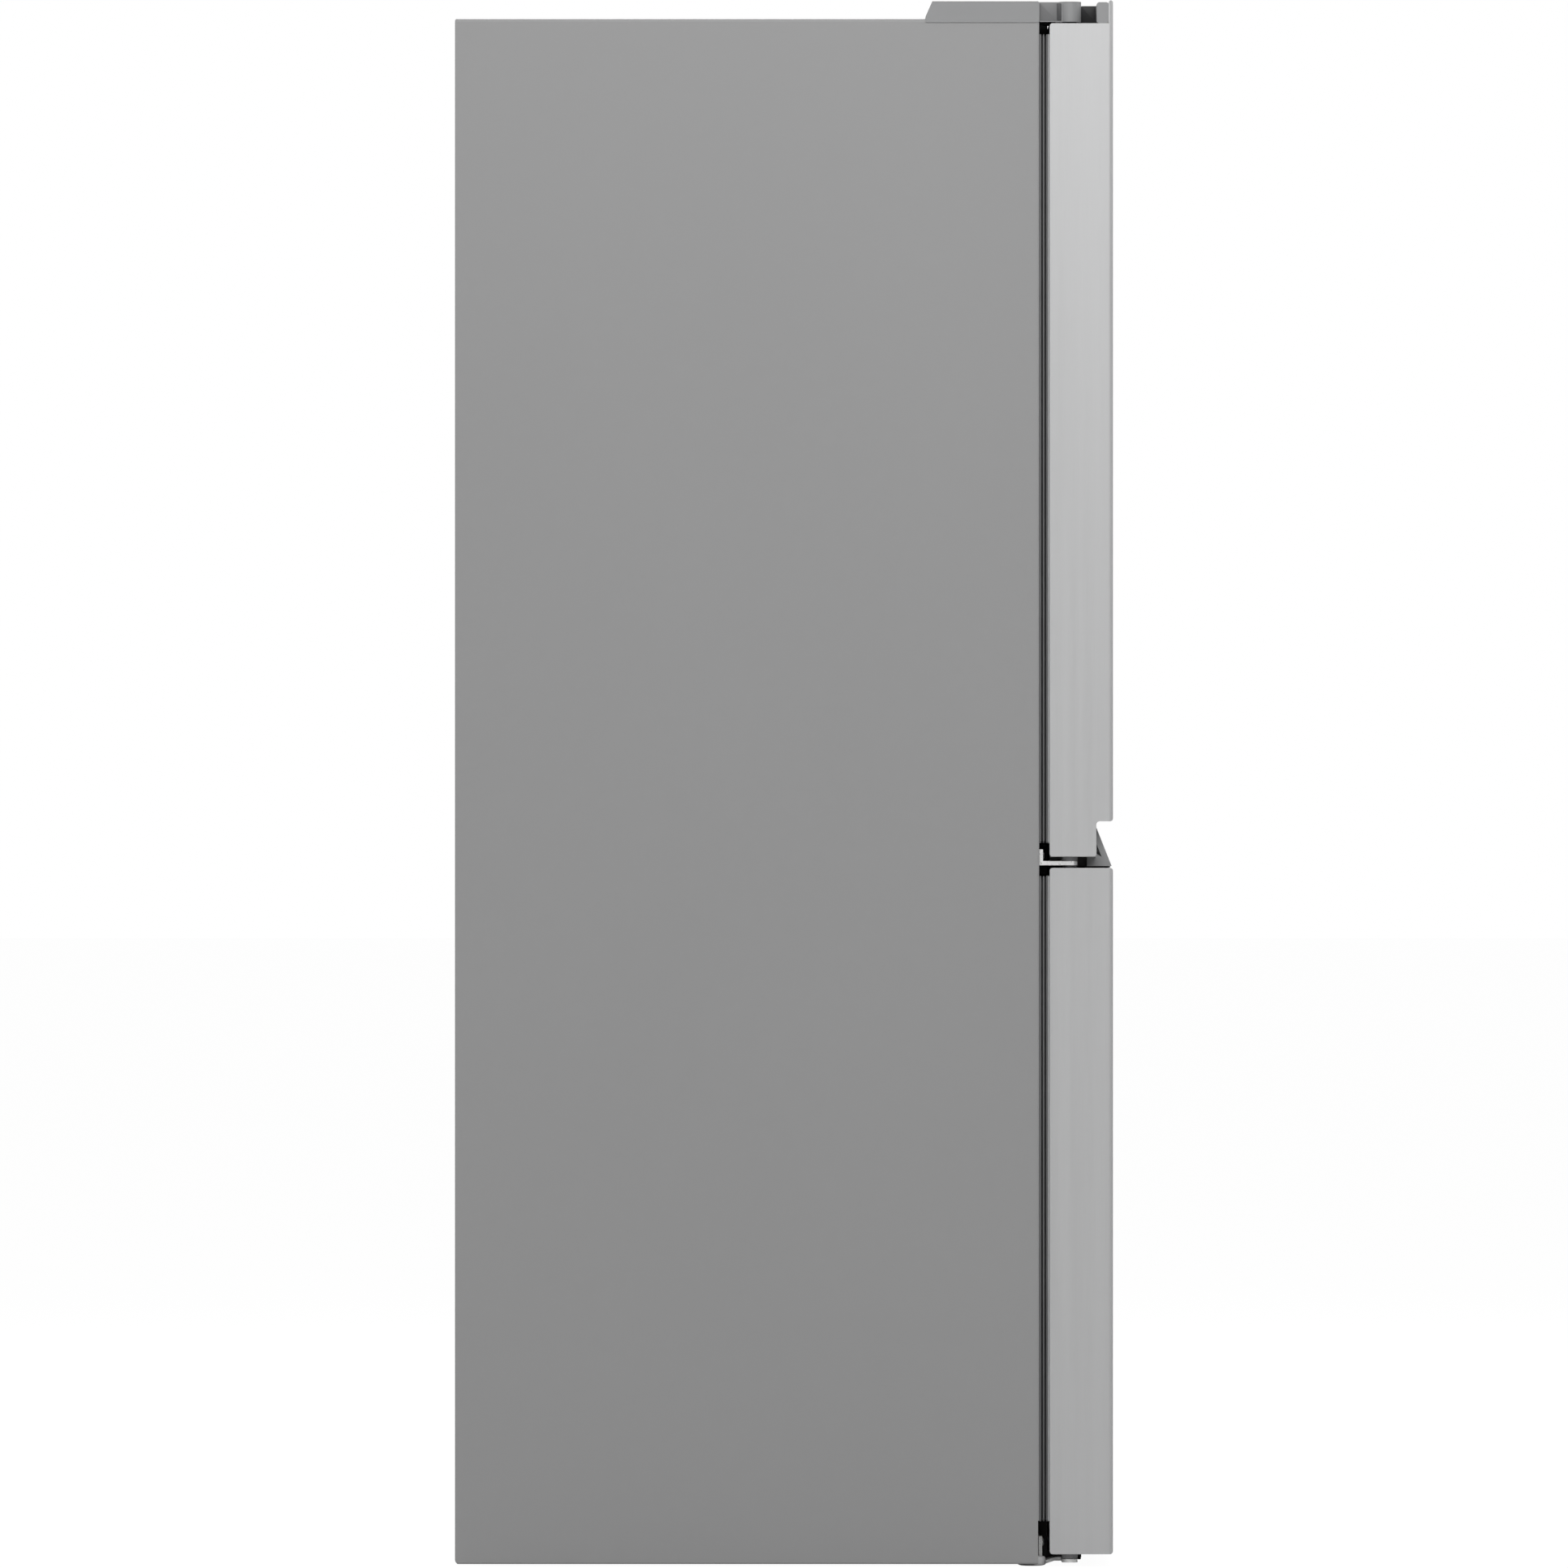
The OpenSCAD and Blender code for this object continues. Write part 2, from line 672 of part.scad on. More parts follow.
// Screws of all six hinges
module hinge_screws() {
    color(metal_c) for (s = [-1, 1]) on_side(s) {
        for (y = [cab_y + 30, cab_y + 70], x = [xo - 70, xo - 30]) {
            post([x, y, cab_top + 0.1], 3, 4.5);
            post([x, y, cab_top + 4.1], 6, 4);
        }
        for (x = [xo - 66, xo - 46]) front_screw(x, 808, cab_y - 4.6);
        for (x = [xo - 82, xo - 56]) front_screw(x, 24.5, cab_y - 4.4);
    }
}

// Screw driven into the cabinet's front: its head starts at y
module front_screw(x, z, y) {
    translate([x, y, z]) rotate([90, 0, 0]) cylinder(r = 4.5, h = 2);
    translate([x, cab_y - 0.2, z]) rotate([90, 0, 0]) cylinder(r = 2.4, h = cab_y - 0.2 - y + 0.5);
}

// ---------- Inside the fresh-food compartment ----------

shelf_y0 = cab_y + 112;
shelf_y1 = back_y - wall_back - 30;
shelf_x = cavity_x - 4;
crisper_top = fresh_lo + 190;
shelf_pitch = 200;
shelf_z = [for (i = [0 : shelf_count - 1]) crisper_top + i * shelf_pitch];

// Glass shelves with a front rail and a rear rail
module glass_shelves() {
    color("lightcyan") for (z = shelf_z) {
        block([-shelf_x, shelf_y0 + 14, z], [shelf_x, shelf_y1 - 12, z + 4]);
        prism_x(-shelf_x, shelf_x) rrect([shelf_y0, z - 3], [shelf_y0 + 16, z + 9], 2.5);
        prism_x(-shelf_x, shelf_x) rrect([shelf_y1 - 14, z - 3], [shelf_y1, z + 14], 2.5);
    }
}

crisper_y0 = shelf_y0 + 6;
crisper_y1 = shelf_y1 - 10;
crisper_z0 = fresh_lo + liner_t + 3;
crisper_h = 168;
slot_z = crisper_z0 + crisper_h - 22;
slot_x = 150;

// Two crispers side by side; each front has a slot for its humidity slider
module crispers() {
    color("lightblue") for (s = [-1, 1]) on_side(s) difference() {
        union() {
            tub([6, crisper_y0, crisper_z0], [shelf_x - 16, crisper_y1, crisper_z0 + crisper_h], 3, 14);
            prism_x(6, shelf_x - 16)
                rrect([crisper_y0 - 4, crisper_z0 + 4], [crisper_y0 + 3, crisper_z0 + crisper_h - 1], 3);
        }
        block([slot_x - 34, crisper_y0 - 6, slot_z], [slot_x + 34, crisper_y0 + 5, slot_z + 6]);
    }
}

// Humidity slider: a thumb tab in the crisper's slot, held by a plate behind
module slider(s) {
    color(white_c) on_side(s) {
        block([slot_x - 30, crisper_y0 - 8, slot_z + 0.3], [slot_x - 8, crisper_y0 + 3.4, slot_z + 5.7]);
        block([slot_x - 32, crisper_y0 + 3.4, slot_z - 4], [slot_x - 6, crisper_y0 + 5.4, slot_z + 10]);
    }
}

panel_y0 = shelf_y0 + 40;
panel_z = fresh_hi - liner_t - 0.5;
button_r = 7;

// Control panel under the ceiling, with a hole for its button
module control_panel() {
    color(white_c) difference() {
        prism_z(panel_z - 16, panel_z) rrect([-110, panel_y0], [110, panel_y0 + 90], 8);
        block([-104, panel_y0 + 6, panel_z - 13], [104, panel_y0 + 84, panel_z + 1]);
        post([0, panel_y0 + 24, panel_z - 20], button_r + 0.3, 10);
    }
}

module control_button() {
    color("lightgray") {
        post([0, panel_y0 + 24, panel_z - 18], button_r, 9);
        post([0, panel_y0 + 24, panel_z - 12.7], button_r + 2, 2);
    }
}

// Lens over the ceiling lamp
module lamp_lens() {
    color("ivory") difference() {
        prism_z(panel_z - 10, panel_z) rrect([-140, panel_y0 + 120], [140, panel_y0 + 170], 10);
        block([-132, panel_y0 + 128, panel_z - 8], [132, panel_y0 + 162, panel_z + 1]);
    }
}

// ---------- Inside the freezer ----------

drawer_x0 = post_x + 8;
drawer_x1 = cavity_x - 10;
drawer_y0 = cab_y + 70;
drawer_pitch = (freeze_hi - freeze_lo - 12) / drawer_count;
drawer_z0 = freeze_lo + liner_t + 3;
cover_y = back_y - wall_back - 66;

// Freezer drawers of one column; the lowest one stops at the machine compartment's step
module freezer_drawers(s) {
    color("aliceblue") on_side(s) for (i = [0 : drawer_count - 1]) {
        z0 = drawer_z0 + i * drawer_pitch;
        y1 = i == 0 ? machine_y - 52 : cover_y - 12;
        h = i == 0 ? drawer_pitch - 16 : drawer_pitch - 30;
        tub([drawer_x0, drawer_y0, z0], [drawer_x1, y1, z0 + h - 24], 3, 10);
        prism_x(drawer_x0 - 3, drawer_x1 + 3) rrect([drawer_y0 - 8, z0 + 2], [drawer_y0 + 2, z0 + h], 3);
    }
}

fan_z = 640;

// Air duct cover in front of the evaporator, with vents and the fan's opening
module air_cover() {
    x1 = cavity_x - liner_t - 3;
    z0 = machine_h + 50;
    color(white_c) difference() {
        block([-x1, cover_y, z0], [x1, cover_y + 3, freeze_hi - liner_t - 3]);
        translate([0, cover_y - 1, fan_z]) rotate([-90, 0, 0]) cylinder(r = 58, h = 6);
        for (z = [z0 + 20 : 24 : z0 + 90], x = [-260 : 130 : 260])
            block([x - 45, cover_y - 1, z], [x + 45, cover_y + 4, z + 10]);
    }
    color(white_c) for (a = [0 : 45 : 135])
        translate([0, cover_y + 1.5, fan_z]) rotate([0, a, 0]) cube([118, 3, 3], center = true);
    color(white_c) translate([0, cover_y, fan_z]) rotate([-90, 0, 0]) cylinder(r = 4, h = 34);
}

// Fan with flat pitched blades round a hub that turns on a fixed pin along Y
module fan_wheel(r, hub_r, depth, bore) {
    blades = 5;
    difference() {
        union() {
            rotate([-90, 0, 0]) cylinder(r = hub_r, h = depth);
            intersection() {
                for (i = [0 : blades - 1]) rotate([0, i * 360 / blades, 0])
                    translate([r / 2, depth / 2, 0]) rotate([32, 0, 0])
                        cube([r + 10, 2, r * 0.7], center = true);
                rotate([-90, 0, 0]) cylinder(r = r, h = depth);
            }
        }
        translate([0, -1, 0]) rotate([-90, 0, 0]) cylinder(r = bore, h = depth + 2);
    }
}

module evaporator_fan() {
    color("gray") translate([0, cover_y + 8, fan_z]) fan_wheel(52, 14, 20, 4.05);
}

// Evaporator: finned block on a serpentine of aluminium tube
module evaporator() {
    y0 = cover_y + 14;
    color(metal_c) {
        for (i = [-12 : 12]) block([i * 20 - 0.6, y0, 310], [i * 20 + 0.6, y0 + 44, 560]);
        for (i = [0 : 4], y = [y0 + 12, y0 + 32])
            translate([-262, y, 335 + i * 50]) rotate([0, 90, 0]) cylinder(r = 4, h = 524);
    }
}

// ---------- Machine compartment ----------

comp = [-215, back_y - 112, pan_z + 22];

// Hermetic compressor on a base plate with four rubber mounts
module compressor() {
    color("dimgray") translate(comp) {
        cylinder(r = 68, h = 96);
        translate([0, 0, 96]) intersection() {
            sphere(r = 68);
            cylinder(r = 70, h = 60);
        }
        translate([0, 0, -6]) prism_z(0, 7) rrect([-98, -72], [98, 72], 12);
        for (x = [-84, 84], y = [-58, 58]) translate([x, y, -20.4]) cylinder(r = 11, h = 15);
        translate([66, 0, 60]) rotate([0, 90, 0]) cylinder(r = 4, h = 40);
        translate([60, 34, 80]) rotate([0, 90, 0]) cylinder(r = 3, h = 46);
    }
}

cond_x0 = 66;
cond_x1 = 300;
fan_r = 62;
cond_fan_x = 20;
cond_fan_z = pan_z + 96;
cond_fan_y = back_y - 112;

// Condenser: finned block with end plates, tubes and the fan's bracket and pin
module condenser() {
    y0 = cond_fan_y - 64;
    y1 = cond_fan_y + 64;
    z0 = pan_z + 34;
    z1 = pan_z + 172;
    color("dimgray") {
        for (i = [0 : 16]) block([cond_x0 + i * 14, y0, z0], [cond_x0 + i * 14 + 1.2, y1, z1]);
        for (y = [y0 + 20, cond_fan_y, y1 - 20], z = [z0 + 22, z0 + 69, z1 - 22])
            translate([cond_x0 - 6, y, z]) rotate([0, 90, 0]) cylinder(r = 4, h = 246);
        for (x = [cond_x0 + 84, cond_x0 + 168]) block([x, y0, pan_z + 1.6], [x + 1.2, y0 + 30, z0 + 2]);
        // Fan bracket: a plate with the fan's opening, a cross bar and the pin
        difference() {
            block([cond_fan_x + 26, y0, pan_z + 1.6], [cond_fan_x + 29, y1 + 6, z1]);
            translate([cond_fan_x + 20, cond_fan_y, cond_fan_z]) rotate([0, 90, 0])
                cylinder(r = fan_r + 0.5, h = 20);
        }
        block([cond_fan_x + 26, cond_fan_y - 66, cond_fan_z - 6],
            [cond_fan_x + 29, cond_fan_y + 66, cond_fan_z + 6]);
        translate([cond_fan_x, cond_fan_y, cond_fan_z]) rotate([0, 90, 0]) cylinder(r = 4, h = 30);
        for (y = [y0 + 20, y1 - 20])
            block([cond_fan_x + 27, y - 4, z1 - 26], [cond_x0 + 2, y + 4, z1 - 18]);
    }
}

module condenser_fan() {
    color("gray") translate([cond_fan_x + 22, cond_fan_y, cond_fan_z]) rotate([0, 0, 90])
        fan_wheel(56, 14, 22, 4.05);
}

// Drip pan under the condenser
module drip_pan() {
    color(black_c) tub([cond_x0 + 4, cond_fan_y - 30, pan_z + 1.7],
        [cond_x1 + 20, cond_fan_y + 70, pan_z + 30], 2, 8);
}

// Rear cover with vents
module machine_cover() {
    color(metal_c) difference() {
        block([-cab_x + 12, back_y - 2.4, pan_z + 8], [cab_x - 12, back_y - 1.2, machine_h - 1]);
        for (g = [-1, 1], i = [-4 : 4], z = [pan_z + 46 : 18 : machine_h - 40])
            block([g * 190 + i * 32 - 12, back_y - 4, z], [g * 190 + i * 32 + 12, back_y, z + 6]);
    }
}

inlet_x = -cab_x + 60;
inlet_z = machine_h - 30;

// Power inlet: a flanged socket in the rear cover
module power_inlet() {
    color(black_c) difference() {
        union() {
            block([inlet_x - 25, back_y - 1.2, inlet_z - 18], [inlet_x + 25, back_y, inlet_z + 18]);
            block([inlet_x - 14, back_y - 22, inlet_z - 11], [inlet_x + 14, back_y - 2.5, inlet_z + 11]);
        }
        block([inlet_x - 11, back_y - 18, inlet_z - 8], [inlet_x + 11, back_y + 1, inlet_z + 8]);
    }
}

// ---------- The named pieces ----------

up_dike = [856, 1700];
low_dike = [84, 752];
up_foam = [up_bottom + 25, up_top - 29];
low_foam = [low_bottom + 28, low_top - 29];
up_cut = [notch_top + pocket_up + 7, up_top];
low_cut = [low_bottom, low_top - pocket_down - 5];

cabinet_wrapper();
back_panel();
cabinet_foam();
fridge_liner();
freezer_liner();
front_frame();
centre_dividers();
base_pan();
toe_grille();
trim_strips();
top_hinges();
middle_hinges();
bottom_hinges();
hinge_covers();
hinge_screws();
compressor();
condenser();
condenser_fan();
drip_pan();
machine_cover();
evaporator();
evaporator_fan();
air_cover();
glass_shelves();
crispers();
slider(-1);  // slider_left
slider(1);  // slider_right
freezer_drawers(-1);  // freezer_drawers_left
freezer_drawers(1);  // freezer_drawers_right
control_panel();
control_button();
lamp_lens();
power_inlet();
roller(-1);  // roller_left
roller(1);  // roller_right
foot(-1);  // foot_left
foot(1);  // foot_right
upper_skin(-1);  // upper_left_skin
upper_foam(-1);  // upper_left_foam
door_liner(-1, up_seal, up_dike, bin_z);  // upper_left_liner
door_gasket(-1, up_seal);  // upper_left_gasket
upper_caps(-1);  // upper_left_caps
door_bins(-1);  // upper_left_bins
upper_skin(1);  // upper_right_skin
upper_foam(1);  // upper_right_foam
door_liner(1, up_seal, up_dike, bin_z);  // upper_right_liner
door_gasket(1, up_seal);  // upper_right_gasket
upper_caps(1);  // upper_right_caps
door_bins(1);  // upper_right_bins
lower_skin(-1);  // lower_left_skin
lower_foam(-1);  // lower_left_foam
door_liner(-1, low_seal, low_dike, []);  // lower_left_liner
door_gasket(-1, low_seal);  // lower_left_gasket
lower_caps(-1);  // lower_left_caps
lower_skin(1);  // lower_right_skin
lower_foam(1);  // lower_right_foam
door_liner(1, low_seal, low_dike, []);  // lower_right_liner
door_gasket(1, low_seal);  // lower_right_gasket
lower_caps(1);  // lower_right_caps
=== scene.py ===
"""Looks of the four-door refrigerator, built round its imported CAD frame.

Metres, +Z up, the doors face -Y. Every piece's mesh is in the row frame, so a piece's object
stays at the origin and rides on a CAD body.
"""

import json
import math

import bmesh
import bpy
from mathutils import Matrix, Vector


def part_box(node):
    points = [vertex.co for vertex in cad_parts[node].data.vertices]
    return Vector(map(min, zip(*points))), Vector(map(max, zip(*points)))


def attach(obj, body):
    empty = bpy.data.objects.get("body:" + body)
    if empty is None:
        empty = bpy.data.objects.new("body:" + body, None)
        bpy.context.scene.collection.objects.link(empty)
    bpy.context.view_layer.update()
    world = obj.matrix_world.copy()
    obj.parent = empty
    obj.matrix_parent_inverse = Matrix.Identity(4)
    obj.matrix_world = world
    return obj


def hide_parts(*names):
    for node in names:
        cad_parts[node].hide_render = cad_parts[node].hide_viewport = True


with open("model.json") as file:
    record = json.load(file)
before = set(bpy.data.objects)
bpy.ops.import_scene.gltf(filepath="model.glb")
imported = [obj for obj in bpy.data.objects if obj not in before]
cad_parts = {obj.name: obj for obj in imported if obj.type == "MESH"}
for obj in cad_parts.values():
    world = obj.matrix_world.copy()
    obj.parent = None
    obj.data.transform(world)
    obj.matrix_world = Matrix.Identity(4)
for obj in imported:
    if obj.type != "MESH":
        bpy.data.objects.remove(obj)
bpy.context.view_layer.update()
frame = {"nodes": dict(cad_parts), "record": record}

MM = 0.001
SIDES = ("left", "right")
DOORS = [(valve, side) for valve in ("upper", "lower") for side in SIDES]

# Colour sockets of a Mix node, which share their names with its other kinds of socket
MIX_FIRST, MIX_SECOND, MIX_RESULT = 6, 7, 2

# Places and sizes on the refrigerator that several pieces share, in mm
PIN_X, PIN_Y = 398.5, -325
SHELF_LEVELS = (1038, 1238, 1438)
BIN_LEVELS = (884, 1160, 1430)
BACK_FACE = 372.7


# ---------------------------------------------------------------- node helpers

class Shader:
    """A material with one Principled shader and short calls for its procedural inputs."""

    def __init__(self, name, color, rough, metal=0.0, **values):
        self.material = bpy.data.materials.new(name)
        self.material.use_nodes = True
        self.tree = self.material.node_tree
        self.shader = self.tree.nodes["Principled BSDF"]
        self.color = color
        self.shader.inputs["Base Color"].default_value = (*color, 1)
        self.shader.inputs["Roughness"].default_value = rough
        self.shader.inputs["Metallic"].default_value = metal
        for socket, value in values.items():
            self.shader.inputs[socket.replace("_", " ")].default_value = value
        self.place = self.tree.nodes.new("ShaderNodeTexCoord").outputs["Object"]

    def node(self, kind, **settings):
        made = self.tree.nodes.new(kind)
        for key, value in settings.items():
            setattr(made, key, value)
        return made

    def link(self, source, target):
        self.tree.links.new(source, target)

    def stretched(self, scale):
        """Object coordinates scaled by features per metre, one number or one for each of x, y and z."""
        mapping = self.node("ShaderNodeMapping")
        mapping.inputs["Scale"].default_value = scale if isinstance(scale, tuple) else (scale,) * 3
        self.link(self.place, mapping.inputs["Vector"])
        return mapping.outputs["Vector"]

    def noise(self, scale, detail=3.0, rough=0.5):
        made = self.node("ShaderNodeTexNoise")
        made.inputs["Scale"].default_value = 1.0
        made.inputs["Detail"].default_value = detail
        made.inputs["Roughness"].default_value = rough
        self.link(self.stretched(scale), made.inputs["Vector"])
        return made.outputs["Fac"]

    def cells(self, scale):
        made = self.node("ShaderNodeTexVoronoi")
        made.inputs["Scale"].default_value = 1.0
        self.link(self.stretched(scale), made.inputs["Vector"])
        return made

    def spread(self, value, low, high, source=(0.3, 0.7)):
        """Maps a texture value to a range."""
        made = self.node("ShaderNodeMapRange")
        made.inputs["From Min"].default_value = source[0]
        made.inputs["From Max"].default_value = source[1]
        made.inputs["To Min"].default_value = low
        made.inputs["To Max"].default_value = high
        self.link(value, made.inputs["Value"])
        return made.outputs["Result"]

    def math(self, operation, first, second):
        made = self.node("ShaderNodeMath", operation=operation)
        for socket, value in zip(made.inputs, (first, second)):
            if isinstance(value, (int, float)):
                socket.default_value = value
            else:
                self.link(value, socket)
        return made.outputs["Value"]

    def mix(self, factor, first, second):
        """A colour between two colours."""
        made = self.node("ShaderNodeMix", data_type="RGBA")
        self.link(factor, made.inputs["Factor"])
        for socket, value in ((made.inputs[MIX_FIRST], first), (made.inputs[MIX_SECOND], second)):
            if isinstance(value, tuple):
                socket.default_value = (*value, 1)
            else:
                self.link(value, socket)
        return made.outputs[MIX_RESULT]

    def tinted(self, amount):
        """The base colour made darker or lighter by a share."""
        return tuple(min(1.0, c * (1 + amount)) for c in self.color)

    def vary_color(self, value, amount):
        """Varies the base colour by a share to both sides."""
        shade = self.mix(value, self.tinted(-amount), self.tinted(amount))
        self.link(shade, self.shader.inputs["Base Color"])

    def vary_rough(self, value, low, high):
        self.link(self.spread(value, low, high), self.shader.inputs["Roughness"])

    def bump(self, value, distance, strength=1.0):
        """Adds a bump of that depth in metres over any earlier bump."""
        made = self.node("ShaderNodeBump")
        made.inputs["Strength"].default_value = strength
        made.inputs["Distance"].default_value = distance
        normal = self.shader.inputs["Normal"]
        if normal.is_linked:
            self.link(normal.links[0].from_socket, made.inputs["Normal"])
        self.link(value, made.inputs["Height"])
        self.link(made.outputs["Normal"], normal)


def sheet_paint(name, color, rough=0.42):
    """Pre-coated steel: even colour, faint mottle and a fine orange peel."""
    s = Shader(name, color, rough, 0.0, Specular_IOR_Level=0.45)
    s.vary_color(s.noise((3, 3, 2), 4), 0.02)
    s.vary_rough(s.noise(140, 2), rough - 0.05, rough + 0.05)
    s.bump(s.noise(900, 2), 0.00004, 0.5)
    s.bump(s.noise(160, 2), 0.00010, 0.35)
    return s.material


def brushed_steel(name, color, rough):
    """Stainless finish brushed up and down, with long faint streaks."""
    s = Shader(name, color, rough, 0.35, Specular_IOR_Level=0.5)
    fine = s.noise((2600, 2600, 14), 3, 0.6)
    broad = s.noise((60, 60, 0.9), 3, 0.5)
    streaks = s.math("ADD", s.math("MULTIPLY", fine, 0.55), s.math("MULTIPLY", broad, 0.45))
    s.vary_color(s.spread(streaks, 0.0, 1.0), 0.045)
    s.vary_rough(streaks, rough - 0.07, rough + 0.08)
    s.bump(fine, 0.00002, 0.55)
    return s.material


def moulded(name, color, rough):
    """Injection-moulded plastic with a fine spark-eroded grain."""
    s = Shader(name, color, rough)
    grains = s.noise(1100, 3)
    s.vary_color(s.noise(18, 3), 0.03)
    s.vary_rough(grains, rough - 0.07, rough + 0.07)
    s.bump(grains, 0.00005, 0.6)
    return s.material


def glossy(name, color, rough=0.22):
    """Smooth formed plastic with a slow waviness."""
    s = Shader(name, color, rough)
    s.vary_color(s.noise(5, 2), 0.012)
    s.vary_rough(s.noise(70, 2), rough - 0.05, rough + 0.06)
    s.bump(s.noise(26, 1), 0.0004, 0.25)
    s.bump(s.noise(700, 2), 0.00003, 0.3)
    return s.material


def plated(name, color, rough):
    """Bright zinc plate with a faint frost and tiny pits."""
    s = Shader(name, color, rough, 0.4)
    s.vary_color(s.noise(90, 4, 0.6), 0.04)
    s.vary_rough(s.noise(300, 4), rough - 0.06, rough + 0.12)
    s.bump(s.noise(1500, 2), 0.00002, 0.4)
    return s.material


def galvanised(name, color, rough=0.42):
    """Galvanised sheet: a low-contrast spangle of large crystals."""
    s = Shader(name, color, rough, 0.9)
    spangle = s.cells(120)
    grey = s.node("ShaderNodeSeparateColor")
    s.link(spangle.outputs["Color"], grey.inputs["Color"])
    s.vary_color(grey.outputs["Red"], 0.06)
    s.link(s.spread(grey.outputs["Green"], rough - 0.08, rough + 0.08, (0, 1)), s.shader.inputs["Roughness"])
    s.bump(s.noise(400, 3), 0.00003, 0.4)
    return s.material


def see_through(name, color, rough, alpha, grain=0.0):
    """Clear or frosted polystyrene, shown by alpha."""
    s = Shader(name, color, rough, 0.0, Alpha=alpha, IOR=1.55)
    s.vary_rough(s.noise(60, 2), rough * 0.9, rough * 1.15)
    s.bump(s.noise(9, 1), 0.0002, 0.1)
    if grain:
        s.bump(s.noise(grain, 2), 0.00006, 0.6)
    return s.material


def foam_surface(name, color):
    """Rigid foam with fine open cells and a mottled skin."""
    s = Shader(name, color, 0.85)
    cells = s.cells(900).outputs["Distance"]
    s.vary_color(s.noise(20, 4), 0.10)
    s.bump(cells, 0.0003, 0.7)
    s.bump(s.noise(40, 4), 0.002, 0.3)
    return s.material


def vinyl(name, color, rough=0.55):
    """Soft extruded vinyl, with lines along its run and a dusting of powder."""
    s = Shader(name, color, rough, 0.0, Specular_IOR_Level=0.4)
    s.vary_color(s.noise(35, 4, 0.6), 0.07)
    s.vary_rough(s.noise(500, 3), rough - 0.08, rough + 0.1)
    s.bump(s.noise(600, 3), 0.00004, 0.5)
    return s.material


MATERIALS = {
    "side_paint": sheet_paint("side_paint", (0.282, 0.282, 0.283)),
    "frame_paint": sheet_paint("frame_paint", (0.30, 0.302, 0.305)),
    "door_steel": brushed_steel("door_steel", (0.485, 0.487, 0.49), 0.44),
    "cap_plastic": moulded("cap_plastic", (0.255, 0.257, 0.26), 0.46),
    "cover_plastic": moulded("cover_plastic", (0.25, 0.252, 0.255), 0.44),
    "black_plastic": moulded("black_plastic", (0.012, 0.012, 0.013), 0.5),
    "hinge_metal": plated("hinge_metal", (0.93, 0.93, 0.92), 0.3),
    "galvanised": galvanised("galvanised", (0.55, 0.56, 0.57)),
    "foam": foam_surface("foam", (0.80, 0.70, 0.44)),
    "white_plastic": glossy("white_plastic", (0.84, 0.85, 0.86)),
    "gasket": vinyl("gasket", (0.24, 0.241, 0.244)),
    "black_enamel": sheet_paint("black_enamel", (0.014, 0.014, 0.015), 0.3),
    "dark_fins": sheet_paint("dark_fins", (0.045, 0.045, 0.05), 0.5),
    "bare_fins": galvanised("bare_fins", (0.72, 0.73, 0.74), 0.35),
    "fan_plastic": moulded("fan_plastic", (0.22, 0.225, 0.23), 0.5),
    "shelf_glass": see_through("shelf_glass", (0.72, 0.86, 0.82), 0.06, 0.28),
    "clear_plastic": see_through("clear_plastic", (0.80, 0.87, 0.92), 0.12, 0.35),
    "frosted_plastic": see_through("frosted_plastic", (0.86, 0.91, 0.95), 0.4, 0.6, 1200),
    "lamp_diffuser": glossy("lamp_diffuser", (0.92, 0.92, 0.88), 0.35),
    "roller_plastic": moulded("roller_plastic", (0.04, 0.04, 0.042), 0.45),
    "foot_plastic": moulded("foot_plastic", (0.58, 0.58, 0.585), 0.45),
}
# Finishes of pieces that differ from their slot's own. The first three paint shade: near-black for the gasket
# folds, grip hollow and cap recess, and darker greys for the neck of each hinge cover and its groove
SHADE_BLACK = moulded("painted_shade_black", (0.01, 0.01, 0.011), 0.6)
NECK_SHADE_PLASTIC = moulded("neck_shade_plastic", (0.165, 0.166, 0.169), 0.5)
GROOVE_SHADE_PLASTIC = moulded("neck_groove_shade", (0.055, 0.056, 0.058), 0.55)
COPPER = plated("copper_tube", (0.72, 0.38, 0.24), 0.3)
FRONT_PLASTIC = see_through("drawer_front", (0.82, 0.88, 0.93), 0.25, 0.72)


# ---------------------------------------------------------------- CAD nodes

SHARP_ANGLE = math.radians(35)
FLAT_ANGLE = math.radians(0.5)
WELD_GAP = 0.01 * MM


def round_edges(obj, width):
    """Rounds an object's sharp edges and evens its normals, as modifiers only."""
    edge = obj.modifiers.new("edge", "BEVEL")
    edge.width = width
    edge.segments = 2
    edge.limit_method = "ANGLE"
    edge.angle_limit = SHARP_ANGLE
    normals = obj.modifiers.new("normals", "WEIGHTED_NORMAL")
    normals.keep_sharp = False


def soften(obj, width):
    """Welds a CAD mesh, joins its flat faces and rounds its edges, as modifiers only."""
    weld = obj.modifiers.new("weld", "WELD")
    weld.merge_threshold = WELD_GAP
    flat = obj.modifiers.new("flat", "DECIMATE")
    flat.decimate_type = "DISSOLVE"
    flat.angle_limit = FLAT_ANGLE
    round_edges(obj, width)


# Width of the rounded edges for each slot, in mm
SOFT_EDGES = {
    "door_steel": 0.5, "cap_plastic": 0.5, "cover_plastic": 0.8, "white_plastic": 0.6, "hinge_metal": 0.4,
    "side_paint": 0.3, "black_plastic": 0.5, "foot_plastic": 0.4, "roller_plastic": 0.5,
}
PLAIN_EDGE = 0.25
node_slot = {part["node"]: part["material_slot"] for part in frame["record"]["subparts"]}
for name, obj in frame["nodes"].items():
    slot_name = node_slot[name]
    obj.data.materials.clear()
    obj.data.materials.append(MATERIALS[slot_name])
    for polygon in obj.data.polygons:
        polygon.use_smooth = True
    soften(obj, SOFT_EDGES.get(slot_name, PLAIN_EDGE) * MM)


# ---------------------------------------------------------------- mesh helpers

